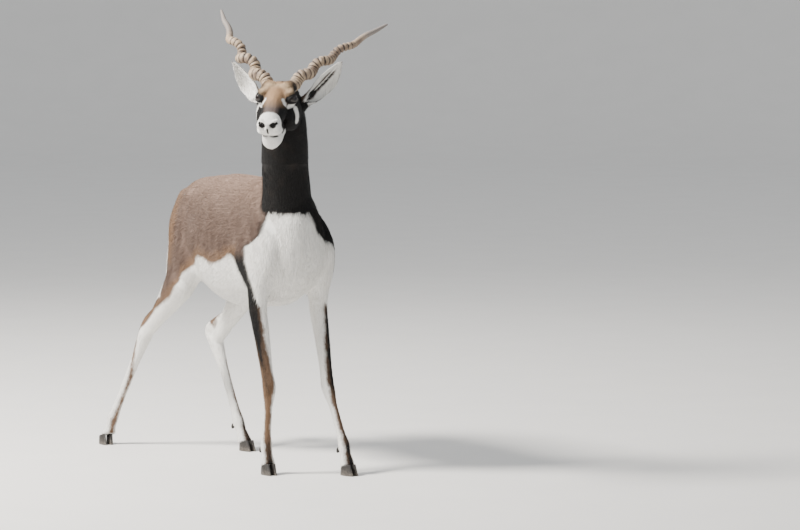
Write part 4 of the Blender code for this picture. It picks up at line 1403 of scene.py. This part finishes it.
@dataclass
class Grooming:
    """How the hair lies: its direction, length, girth and patch at every place of the skin."""

    layout: Layout
    leg_reach: float = 0.10
    rump_start: float = 0.34
    throat_floor: float = 0.74
    throat_back: float = 0.2
    head_back: float = -0.09
    head_floor: float = 0.86
    tail_half: float = 0.032
    tail_front: float = 0.66
    tail_floor: float = 0.52

    def apply(self, mesh: bpy.types.Mesh, fields: dict[str, np.ndarray]) -> None:
        """Store the grooming on the skin.

        Args:
            mesh: The skin, in the row frame.
            fields: The markings, of which bare skin grows no hair.
        """
        places = self.layout.to_body(places_of(mesh))
        normals = normals_of(mesh)
        lie, length, girth = self._trunk(places)
        for leg in self.layout.legs:
            self._leg(leg, places, lie, length, girth)
        self._head(places, lie, length, girth)
        lie -= normals * (lie * normals).sum(1)[:, None]
        lie /= np.maximum(np.linalg.norm(lie, axis=1), 1e-9)[:, None]
        store(mesh, "lie", lie)
        store(mesh, "length", length)
        store(mesh, "girth", girth)
        store(mesh, "patch", self._patches(places))
        store(mesh, "growth", soft_step(fields["bare"], 0.0, -0.0015))

    def _trunk(self, places: np.ndarray) -> tuple[np.ndarray, np.ndarray, np.ndarray]:
        """Hair of trunk, neck and tail: it runs back and down."""
        x, y, z = places.T
        neck = soft_step(z, 0.70, 0.80) * (y < 0.25)
        chest = soft_step(y, 0.16, 0.04) * soft_step(z, 0.76, 0.70)
        tail = ((np.abs(x) < 0.03) & (y > 0.655)).astype(float)
        back = np.stack([np.zeros(len(x)), np.ones(len(x)), -0.30 - 0.5 * (z < 0.66)], axis=1)
        down_neck = np.tile((0.10, 0.35, -1.0), (len(x), 1))
        down = np.tile((0.0, 0.15, -1.0), (len(x), 1))
        lie = back * (1 - neck)[:, None] + down_neck * neck[:, None]
        lie = lie * (1 - chest)[:, None] + down * chest[:, None]
        lie = lie * (1 - tail)[:, None] + down * tail[:, None]
        sway = 0.08 * np.sin(31 * x + 17 * y + 11 * z)
        lie[:, 0] += sway * np.sign(x)
        length = 0.0145 - 0.002 * neck + 0.003 * chest + 0.012 * tail
        girth = np.full(len(x), 0.0014)
        return lie, length, girth

    def _leg(self, leg: Leg, places: np.ndarray, lie: np.ndarray, length: np.ndarray,
             girth: np.ndarray) -> None:
        """Shorter hair down one leg, in place."""
        mirrored = places * np.array((leg.side, 1.0, 1.0))
        share, _, far = leg.level(mirrored)
        mine = leg.area(places, GROOMING_BOUNDS) & (far < self.leg_reach)
        number = np.clip(share.astype(int), 0, 2)
        bones = np.array([np.array(end) - np.array(start) for start, end in zip(leg.joints, leg.joints[1:])])
        bones /= np.linalg.norm(bones, axis=1)[:, None]
        along = bones[number] * np.array((leg.side, 1.0, 1.0))
        weight = (soft_step(places[:, 2], 0.50, 0.44) * mine)[:, None]
        lie *= 1 - weight
        lie += along * weight
        short = np.interp(share, [0.0, 0.9, 1.3, 2.0, 2.6, 3.0],
                          [0.012, 0.0085, 0.0065, 0.0065, 0.0075, 0.0060])
        length[:] = np.where(mine, length + (short - length) * weight[:, 0], length)
        girth[:] = np.where(mine, girth + (0.0015 - girth) * weight[:, 0], girth)

    def _head(self, places: np.ndarray, lie: np.ndarray, length: np.ndarray, girth: np.ndarray) -> None:
        """Very short hair that runs back from the nose, in place."""
        head = self.layout.head
        points = head.coordinates(places)
        share = soft_step(points[:, 0], -0.11, -0.06) * (places[:, 2] > 0.86)
        forward, left, up = (np.array(axis) for axis in head.axes())
        out = np.sign(points[:, 1]) * 0.35
        back = -forward + out[:, None] * left + (0.1 - 4.0 * np.abs(points[:, 1]))[:, None] * up
        lie *= (1 - share)[:, None]
        lie += back * share[:, None]
        short = np.interp(points[:, 0], [-0.10, -0.04, 0.03, 0.09, 0.125],
                          [0.012, 0.0075, 0.0050, 0.0042, 0.0034])
        length += (short - length) * share
        girth += (0.0012 - girth) * share

    def _patches(self, places: np.ndarray) -> np.ndarray:
        """The patch number of every place."""
        x, y, z = places.T
        along = self.layout.head.coordinates(places)[:, 0]
        numbers = {patch.name: float(patch.number) for patch in PATCHES}
        flank = np.where(x < 0, numbers["coat_flank_right"], numbers["coat_flank_left"])
        rump = np.where(x < 0, numbers["coat_rump_right"], numbers["coat_rump_left"])
        found = np.where(y > self.rump_start, rump, flank)
        on_throat = (z > self.throat_floor) & (y < self.throat_back)
        found = np.where(on_throat, numbers["coat_throat"], found)
        on_head = (along > self.head_back) & (z > self.head_floor)
        found = np.where(on_head, numbers["coat_head"], found)
        for leg in self.layout.legs:
            found = np.where(leg.area(places, PATCH_BOUNDS), numbers["coat_leg_" + leg.name], found)
        on_tail = (np.abs(x) < self.tail_half) & (y > self.tail_front) & (z > self.tail_floor)
        return np.where(on_tail, numbers["coat_tail"], found)


@dataclass
class Hair:
    """Tufts of hair set on the skin by Geometry Nodes."""

    layout: Layout
    seed: int = 7
    yaw: float = math.radians(9.0)
    thickness: float = 0.34
    waist: float = 0.45
    waist_width: float = 0.9
    curl: float = 0.10
    rooted: float = 0.06
    density: float = 1.6

    def tuft(self) -> bpy.types.Object:
        """One tuft a metre long along +X: a three-sided blade that ends in a point."""
        half = math.sqrt(3) / 2
        corners = [(math.cos(t), math.sin(t)) for t in np.radians((90, 210, 330))]
        root = [(0.0, cosine, sine) for cosine, sine in corners]
        waist = [(self.waist, self.waist_width * half * cosine, self.waist_width * sine + self.curl)
                 for cosine, sine in corners]
        points = [(x - self.rooted, 0.5 * y, 0.5 * z * self.thickness) for x, y, z in root + waist]
        points.append((1.0, 0.0, -self.curl))
        faces = [(2, 1, 0)]
        for i in range(3):
            j = (i + 1) % 3
            faces += [(i, j, 3 + j), (i, 3 + j, 3 + i), (3 + i, 3 + j, 6)]
        mesh = mesh_of("tuft", np.array(points), faces)
        mesh.shade_smooth()
        thing = add_object("tuft", mesh)
        thing.hide_render = True
        return thing

    def tree(self, tuft: bpy.types.Object, material: bpy.types.Material) -> bpy.types.NodeTree:
        """The Geometry Nodes tree that grows one patch.

        Args:
            tuft: The tuft that is repeated.
            material: The hair's finish.

        Returns:
            The tree, with its sizes as named inputs.
        """
        tree = bpy.data.node_groups.new("hair", "GeometryNodeTree")
        ports = tree.interface
        ports.new_socket("Geometry", in_out="INPUT", socket_type="NodeSocketGeometry")
        for name, value in (("Patch", 1.0), ("Spacing", 0.004), ("Lift", 0.2)):
            ports.new_socket(name, in_out="INPUT", socket_type="NodeSocketFloat").default_value = value
        ports.new_socket("Seed", in_out="INPUT", socket_type="NodeSocketInt").default_value = self.seed
        ports.new_socket("Geometry", in_out="OUTPUT", socket_type="NodeSocketGeometry")
        bench = Bench(tree)
        start = bench.node("NodeGroupInput")
        seed = bench.out(start, "Seed")
        off = (bench.named("patch") - bench.out(start, "Patch")).absolute()
        spacing = bench.out(start, "Spacing")
        scattered = bench.node("GeometryNodeDistributePointsOnFaces", {"distribute_method": "POISSON"}, {
            "Mesh": bench.out(start, "Geometry"), "Selection": 1 - (off - 0.5).stepped(0.0, 0.001),
            "Distance Min": spacing, "Density Max": self.density / (spacing * spacing),
            "Density Factor": bench.named("growth"), "Seed": seed,
        })
        points = bench.out(scattered, "Points")
        root = bench.out(bench.node("GeometryNodeInputPosition"))
        points = bench.stored(points, "root", root, "FLOAT_VECTOR")
        tone = self._random(bench, 0.0, 1.0, seed + 1)
        points = bench.stored(points, "tone", tone)
        aligned = bench.node("FunctionNodeAxesToRotation", {"primary_axis": "X", "secondary_axis": "Z"}, {
            0: bench.named("lie", "FLOAT_VECTOR"), 1: bench.out(scattered, "Normal"),
        })
        yaw = self._random(bench, -self.yaw, self.yaw, seed + 2)
        pitch = bench.out(start, "Lift") * self._random(bench, -1.6, -0.5, seed + 3)
        euler = bench.node("ShaderNodeCombineXYZ", {}, {0: 0.0, 1: pitch, 2: yaw})
        tilt = bench.out(bench.node("FunctionNodeEulerToRotation", {}, {0: bench.out(euler)}))
        turned = bench.node("FunctionNodeRotateRotation", {"rotation_space": "LOCAL"}, {
            0: bench.out(aligned), 1: tilt,
        })
        long = bench.named("length") * self._random(bench, 0.75, 1.25, seed + 4)
        wide = bench.named("girth") * self._random(bench, 0.7, 1.3, seed + 5)
        scale = bench.node("ShaderNodeCombineXYZ", {}, {0: long, 1: wide, 2: wide})
        shape = bench.node("GeometryNodeObjectInfo", {}, {"Object": tuft})
        grown = bench.node("GeometryNodeInstanceOnPoints", {}, {
            "Points": points, "Instance": bench.out(shape, "Geometry"),
            "Rotation": bench.out(turned), "Scale": bench.out(scale),
        })
        bench.sent_out(bench.out(grown), material)
        return tree

    def _random(self, bench: Bench, low: float, high: float, seed: Wire) -> Wire:
        """A random number for each tuft."""
        node = bench.node("FunctionNodeRandomValue", {"data_type": "FLOAT"}, {2: low, 3: high, "Seed": seed})
        return bench.out(node, 1)

    def grow(self, emitter: bpy.types.Object, patch: Patch, tree: bpy.types.NodeTree) -> bpy.types.Object:
        """Grow one patch as a plain mesh.

        Args:
            emitter: The skin that the hair grows on.
            patch: Which stretch of it.
            tree: The hair's node tree.

        Returns:
            The piece of hair.
        """
        step = emitter.modifiers.new("hair", "NODES")
        step.node_group = tree
        values = {"Patch": float(patch.number), "Spacing": patch.spacing,
                  "Lift": math.radians(patch.lift), "Seed": self.seed + 10 * patch.number}
        for item in tree.interface.items_tree:
            if item.in_out == "INPUT" and item.name in values:
                step[item.identifier] = values[item.name]
        bpy.context.view_layer.update()
        graph = bpy.context.evaluated_depsgraph_get()
        mesh = bpy.data.meshes.new_from_object(emitter.evaluated_get(graph))
        emitter.modifiers.remove(step)
        piece = add_object(patch.name, mesh)
        finish_piece(piece, ())
        return piece


# Finishes

@dataclass(frozen=True)
class CoatFinish:
    """Colours of the coat, shared by the skin and the hair on it."""

    brown: Triple = (0.100, 0.065, 0.050)
    flank_streak: Triple = (0.148, 0.101, 0.080)
    # Paler coat colour: painted sunlight on the up-facing back, and the outer ears' own colour.
    pale: Triple = (0.260, 0.176, 0.134)
    rust: Triple = (0.215, 0.124, 0.066)
    black: Triple = (0.0060, 0.0055, 0.0055)
    dark_brown: Triple = (0.0140, 0.0105, 0.0090)
    white: Triple = (0.800, 0.785, 0.750)
    cream: Triple = (0.430, 0.310, 0.195)
    forehead: Triple = (0.330, 0.205, 0.115)
    bridge: Triple = (0.130, 0.100, 0.090)
    skin: Triple = (0.012, 0.011, 0.011)

    def material(self, name: str, hair: bool) -> bpy.types.Material:
        """Make the coat's material.

        Args:
            name: Its name.
            hair: True for tufts, False for the skin between them.

        Returns:
            The material.
        """
        gloss = Gloss(roughness=0.78, specular=0.18, sheen=0.04, sheen_roughness=0.35)
        material, bench, shader = new_material(name, gloss)
        place = bench.attribute_vector("root") if hair else bench.place()
        face = bench.attribute("face")
        calm = 1 - 0.85 * face
        coarse = (bench.noise(34, place, 3) - 0.5) * 0.016
        fine = (bench.noise(240, place, 2) - 0.5) * 0.009
        wobble = (coarse + fine) * calm
        edge = 0.0015 + 0.0035 * calm
        white = self._share(bench.attribute("white") + wobble, edge)
        dark = self._share(bench.attribute("dark") + wobble * 1.3, 0.012)
        tan = self._share(bench.attribute("tan") + wobble * 2, 0.016)
        bridge = self._share(bench.attribute("bridge") + wobble, 0.006)
        pale = bench.attribute("pale")
        tall = bench.vectors("MULTIPLY", place, (1.0, 1.0, 0.2))
        streak = bench.noise(42, tall, 3).stepped(0.36, 0.66)
        coat = bench.mix(streak * 0.8, self.brown, self.flank_streak)
        # Painted sunlight: up-facing coat turns paler, and less tan, by the stored share.
        coat = bench.mix(pale * 0.95, coat, self.pale)
        coat = bench.mix(tan * (0.75 - pale * 0.45), coat, self.rust)
        black = bench.mix(bench.noise(30, place, 3).stepped(0.5, 0.8), self.black, self.dark_brown)
        black = bench.mix(bridge * 0.9, black, self.bridge)
        black = bench.mix(face * tan, black, self.forehead)
        coat = bench.mix(dark, coat, black)
        coat = bench.mix(bench.attribute("cream") * (1 - white), coat, self.cream)
        coat = bench.mix(white, coat, self.white)
        bare = self._share(bench.attribute("bare") + wobble * 0.3, 0.0012)
        coat = bench.mix(bare, coat, self.skin)
        tone = 0.86 + 0.28 * bench.attribute("tone") if hair else 0.80 + 0.3 * bench.noise(900, None, 2)
        colour = bench.lit(coat, tone)
        bench.tree.links.new(colour.socket, shader.inputs["Base Color"])
        if not hair:
            lie = bench.attribute_vector("lie")
            run = bench.vectors("DOT_PRODUCT", place, lie, output=1)
            squeezed = bench.vectors("SUBTRACT", place, bench.lit(lie, run * 0.88))
            height = bench.noise(750, squeezed, 3, 0.6) * (1 - bare)
            bump = bench.node("ShaderNodeBump", {}, {"Height": height, "Strength": 0.25, "Distance": 0.0006})
            bench.tree.links.new(bench.out(bump).socket, shader.inputs["Normal"])
        return material

    def _share(self, distance: Wire, soft: Wire | float) -> Wire:
        """A signed distance as a share from 0 to 1 over a soft edge."""
        share = distance / soft * 0.5 + 0.5
        return share.at_least(0.0).at_most(1.0)


@dataclass(frozen=True)
class HornFinish:
    """Horn: tan ridges, painted shade in the grooves, a smooth grey tip, fine lengthwise grain."""

    ridge: Triple = (0.400, 0.300, 0.205)
    worn: Triple = (0.200, 0.140, 0.100)
    # Painted shade that darkens the grooves between the rings.
    groove_shade: Triple = (0.040, 0.028, 0.022)
    tip: Triple = (0.230, 0.200, 0.180)

    def material(self) -> bpy.types.Material:
        """Make the horn's material."""
        material, bench, shader = new_material("ringed_horn", Gloss(roughness=0.55, specular=0.4))
        share = bench.attribute("share")
        crest = bench.attribute("crest")
        stain = bench.noise(90, None, 4)
        # Painted shade: tone is the share of groove darkening, high where the ring wave dips between crests.
        tone = (crest + (stain - 0.5) * 0.8).stepped(0.10, 0.62)
        colour = bench.mix(bench.noise(26, None, 4, 0.6).stepped(0.40, 0.64), self.ridge, self.worn)
        colour = bench.mix(tone, self.groove_shade, colour)
        end = (share + (stain - 0.5) * 0.10).stepped(0.70, 0.86)
        colour = bench.mix(end, colour, self.tip)
        colour = bench.lit(colour, 0.80 + 0.4 * bench.noise(420, None, 3))
        bench.tree.links.new(colour.socket, shader.inputs["Base Color"])
        rough = 0.48 + 0.22 * bench.noise(200, None, 2)
        bench.tree.links.new(rough.socket, shader.inputs["Roughness"])
        height = bench.noise(700, None, 4, 0.65) + 0.6 * bench.noise(160, None, 3)
        bump = bench.node("ShaderNodeBump", {}, {"Height": height, "Strength": 0.5, "Distance": 0.0008})
        bench.tree.links.new(bench.out(bump).socket, shader.inputs["Normal"])
        return material


@dataclass(frozen=True)
class EyeFinish:
    """A wet, nearly black eye with a dark brown iris and a level pupil."""

    iris: Triple = (0.012, 0.006, 0.004)
    pupil: Triple = (0.002, 0.002, 0.003)
    white: Triple = (0.020, 0.014, 0.012)

    def material(self) -> bpy.types.Material:
        """Make the eye's material."""
        gloss = Gloss(roughness=0.22, specular=0.3, coat=0.35, coat_roughness=0.03)
        material, bench, shader = new_material("wet_eye", gloss)
        iris = bench.attribute("polar").stepped(52, 46)
        pupil = bench.attribute("pupil").stepped(1.08, 0.94)
        fleck = bench.noise(900, None, 3).stepped(0.35, 0.75)
        colour = bench.mix(fleck * 0.5, self.iris, self.pupil)
        colour = bench.mix(iris, self.white, colour)
        colour = bench.mix(pupil, colour, self.pupil)
        bench.tree.links.new(colour.socket, shader.inputs["Base Color"])
        return material


@dataclass(frozen=True)
class HoofFinish:
    """Worn black hoof horn, dusty towards the ground."""

    horn: Triple = (0.022, 0.019, 0.017)
    worn: Triple = (0.110, 0.095, 0.080)

    def material(self) -> bpy.types.Material:
        """Make the hoof's material."""
        material, bench, shader = new_material("hoof_horn", Gloss(roughness=0.45, specular=0.45))
        height = bench.out(bench.node("ShaderNodeSeparateXYZ", {}, {0: bench.place()}), 2)
        scuff = bench.noise(300, None, 4, 0.6)
        dust = (scuff - height * 14).stepped(0.22, 0.52)
        colour = bench.mix(dust, self.horn, self.worn)
        bench.tree.links.new(colour.socket, shader.inputs["Base Color"])
        rough = 0.35 + 0.35 * scuff
        bench.tree.links.new(rough.socket, shader.inputs["Roughness"])
        grain = bench.noise(1400, bench.vectors("MULTIPLY", bench.place(), (1.0, 1.0, 0.15)), 3)
        bump = bench.node("ShaderNodeBump", {}, {"Height": grain, "Strength": 0.4, "Distance": 0.0005})
        bench.tree.links.new(bench.out(bump).socket, shader.inputs["Normal"])
        return material


# Studio

@dataclass(frozen=True)
class Lamp:
    """A soft square light: how far it hangs to the camera's right, beyond the animal and up."""

    name: str
    aside: float
    beyond: float
    height: float
    size: float
    power: float
    tint: Triple


LAMPS = (
    Lamp("key", -2.9, -0.9, 3.6, 1.0, 600.0, (1.0, 0.965, 0.91)),
    Lamp("fill", 3.2, -3.0, 1.8, 3.0, 10.0, (0.90, 0.95, 1.0)),
    Lamp("back", -0.6, 3.2, 3.2, 2.0, 50.0, (1.0, 0.98, 0.95)),
)


@dataclass
class Studio:
    """Pale floor, soft lights and the photograph's camera."""

    layout: Layout
    yaw: float = math.radians(32.0)
    offset: float = -0.253
    distance: float = 11.01
    height: float = 1.585
    drop: float = 367.0
    focal: float = 4026.0
    image_width: float = 800.0
    sensor: float = 36.0
    reach: float = 13.0
    curve: float = 4.0
    floor: Triple = (0.80, 0.78, 0.75)
    sky: Triple = (0.86, 0.90, 0.95)
    sky_strength: float = 0.72
    light_target: Triple = (0.0, 0.0, 0.65)
    segments: int = 96
    inner_ring: float = 4.0
    curve_steps: int = 9
    floor_shades: tuple[float, float] = (0.96, 1.02)

    def _level_axes(self) -> tuple[Vector, Vector]:
        """The camera's right and the way it looks, both level."""
        right = Vector((math.cos(self.yaw), -math.sin(self.yaw), 0))
        return right, Vector((math.sin(self.yaw), math.cos(self.yaw), 0))

    def camera(self) -> bpy.types.Object:
        """The camera at the photograph's place."""
        right, into = self._level_axes()
        place = -right * self.offset - into * self.distance + Vector((0, 0, self.height))
        pitch = math.atan(self.drop / self.focal)
        view = into * math.cos(pitch) - Vector((0, 0, 1)) * math.sin(pitch)
        up = right.cross(view)
        data = bpy.data.cameras.new("camera")
        data.sensor_width = self.sensor
        data.lens = self.focal * self.sensor / self.image_width
        data.clip_end = 100.0
        thing = bpy.data.objects.new("camera", data)
        bpy.context.scene.collection.objects.link(thing)
        matrix = Matrix((right, up, -view)).transposed().to_4x4()
        matrix.translation = place + self.layout.shift
        thing.matrix_world = matrix
        bpy.context.scene.camera = thing
        return thing

    def _light(self, lamp: Lamp, place: Vector) -> None:
        """Hang one lamp so that it looks at the middle of the animal."""
        data = bpy.data.lights.new(lamp.name, "AREA")
        data.size = lamp.size
        data.energy = lamp.power
        data.color = lamp.tint
        thing = bpy.data.objects.new(lamp.name, data)
        bpy.context.scene.collection.objects.link(thing)
        thing.location = place
        aim = Vector(self.light_target) - place
        thing.rotation_mode = "QUATERNION"
        thing.rotation_quaternion = aim.to_track_quat("-Z", "Y")

    def lights(self) -> None:
        """A strong soft key from the viewer's left, a weak fill, a back light and a light blue-white sky."""
        right, into = self._level_axes()
        for lamp in LAMPS:
            self._light(lamp, right * lamp.aside + into * lamp.beyond + Vector((0, 0, lamp.height)))
        world = bpy.data.worlds.new("studio")
        bpy.context.scene.world = world
        world.use_nodes = True
        surface = world.node_tree.nodes["Background"]
        surface.inputs["Color"].default_value = (*self.sky, 1.0)
        surface.inputs["Strength"].default_value = self.sky_strength

    def backdrop(self) -> bpy.types.Object:
        """A floor that curves up into a plain backdrop all round."""
        segments = self.segments
        profile = [(0.0, 0.0), (self.inner_ring, 0.0), (self.reach, 0.0)]
        profile += [(self.reach + self.curve * math.sin(t), self.curve * (1 - math.cos(t)))
                    for t in np.linspace(0, math.pi / 2, self.curve_steps)[1:]]
        points = [(0.0, 0.0, 0.0)]
        for radius, height in profile[1:]:
            for i in range(segments):
                angle = 2 * math.pi * i / segments
                points.append((radius * math.cos(angle), radius * math.sin(angle), height))
        faces = [(0, 1 + i, 1 + (i + 1) % segments) for i in range(segments)]
        for r in range(len(profile) - 2):
            for i in range(segments):
                a, b = 1 + r * segments + i, 1 + r * segments + (i + 1) % segments
                faces.append((a, a + segments, b + segments, b))
        mesh = bpy.data.meshes.new("backdrop")
        mesh.from_pydata(points, [], faces)
        mesh.shade_smooth()
        material, bench, shader = new_material("studio_floor", Gloss(roughness=0.9, specular=0.15))
        duller, brighter = (tuple(shade * part for part in self.floor) for shade in self.floor_shades)
        colour = bench.mix(bench.noise(5.0, None, 3), duller, brighter)
        bench.tree.links.new(colour.socket, shader.inputs["Base Color"])
        mesh.materials.append(material)
        thing = add_object("backdrop", mesh)
        return thing


def main() -> None:
    """Build the animal piece by piece round the frame, then the studio."""
    logging.basicConfig(level=logging.INFO, format="%(name)s: %(message)s")
    for thing in list(bpy.data.objects):
        bpy.data.objects.remove(thing)
    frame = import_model()
    layout = Layout()
    layout.settle()
    studio = Studio(layout)
    studio.camera()
    studio.lights()
    studio.backdrop()

    horn_material = HornFinish().material()
    for name in SIDES:
        Horn(layout, name).build(horn_material)
    eye_material = EyeFinish().material()
    for name in SIDES:
        Eye(layout, name).build(eye_material)
    hoof_material = HoofFinish().material()
    for leg in LEGS:
        for place in ("inner", "outer"):
            Claw(layout, f"hoof_{leg}_{place}").build(frame, hoof_material)
            Claw(layout, f"dewclaw_{leg}_{place}", voxel=DEWCLAW_VOXEL).build(frame, hoof_material)

    coat = CoatFinish()
    skin_material = coat.material("coat_skin", hair=False)
    hair_material = coat.material("coat_hair", hair=True)
    skin_maker = Skin(layout)
    skin = skin_maker.build(frame)
    fields = Markings(layout).apply(skin.data)
    Grooming(layout).apply(skin.data, fields)
    skin.data.materials.clear()
    skin.data.materials.append(skin_material)
    hair = Hair(layout)
    tuft = hair.tuft()
    tree = hair.tree(tuft, hair_material)
    for patch in PATCHES:
        hair.grow(skin, patch, tree)
    finish_piece(skin, skin_maker.nodes())
    for name in SIDES:
        ear = Ear(layout, name).build()
        ear.data.materials.append(skin_material)
        hair.grow(ear, EAR_PATCHES[name], tree)
        finish_piece(ear, ("ear_" + name,))
    bpy.data.objects.remove(tuft)


if __name__ == "__main__":
    main()
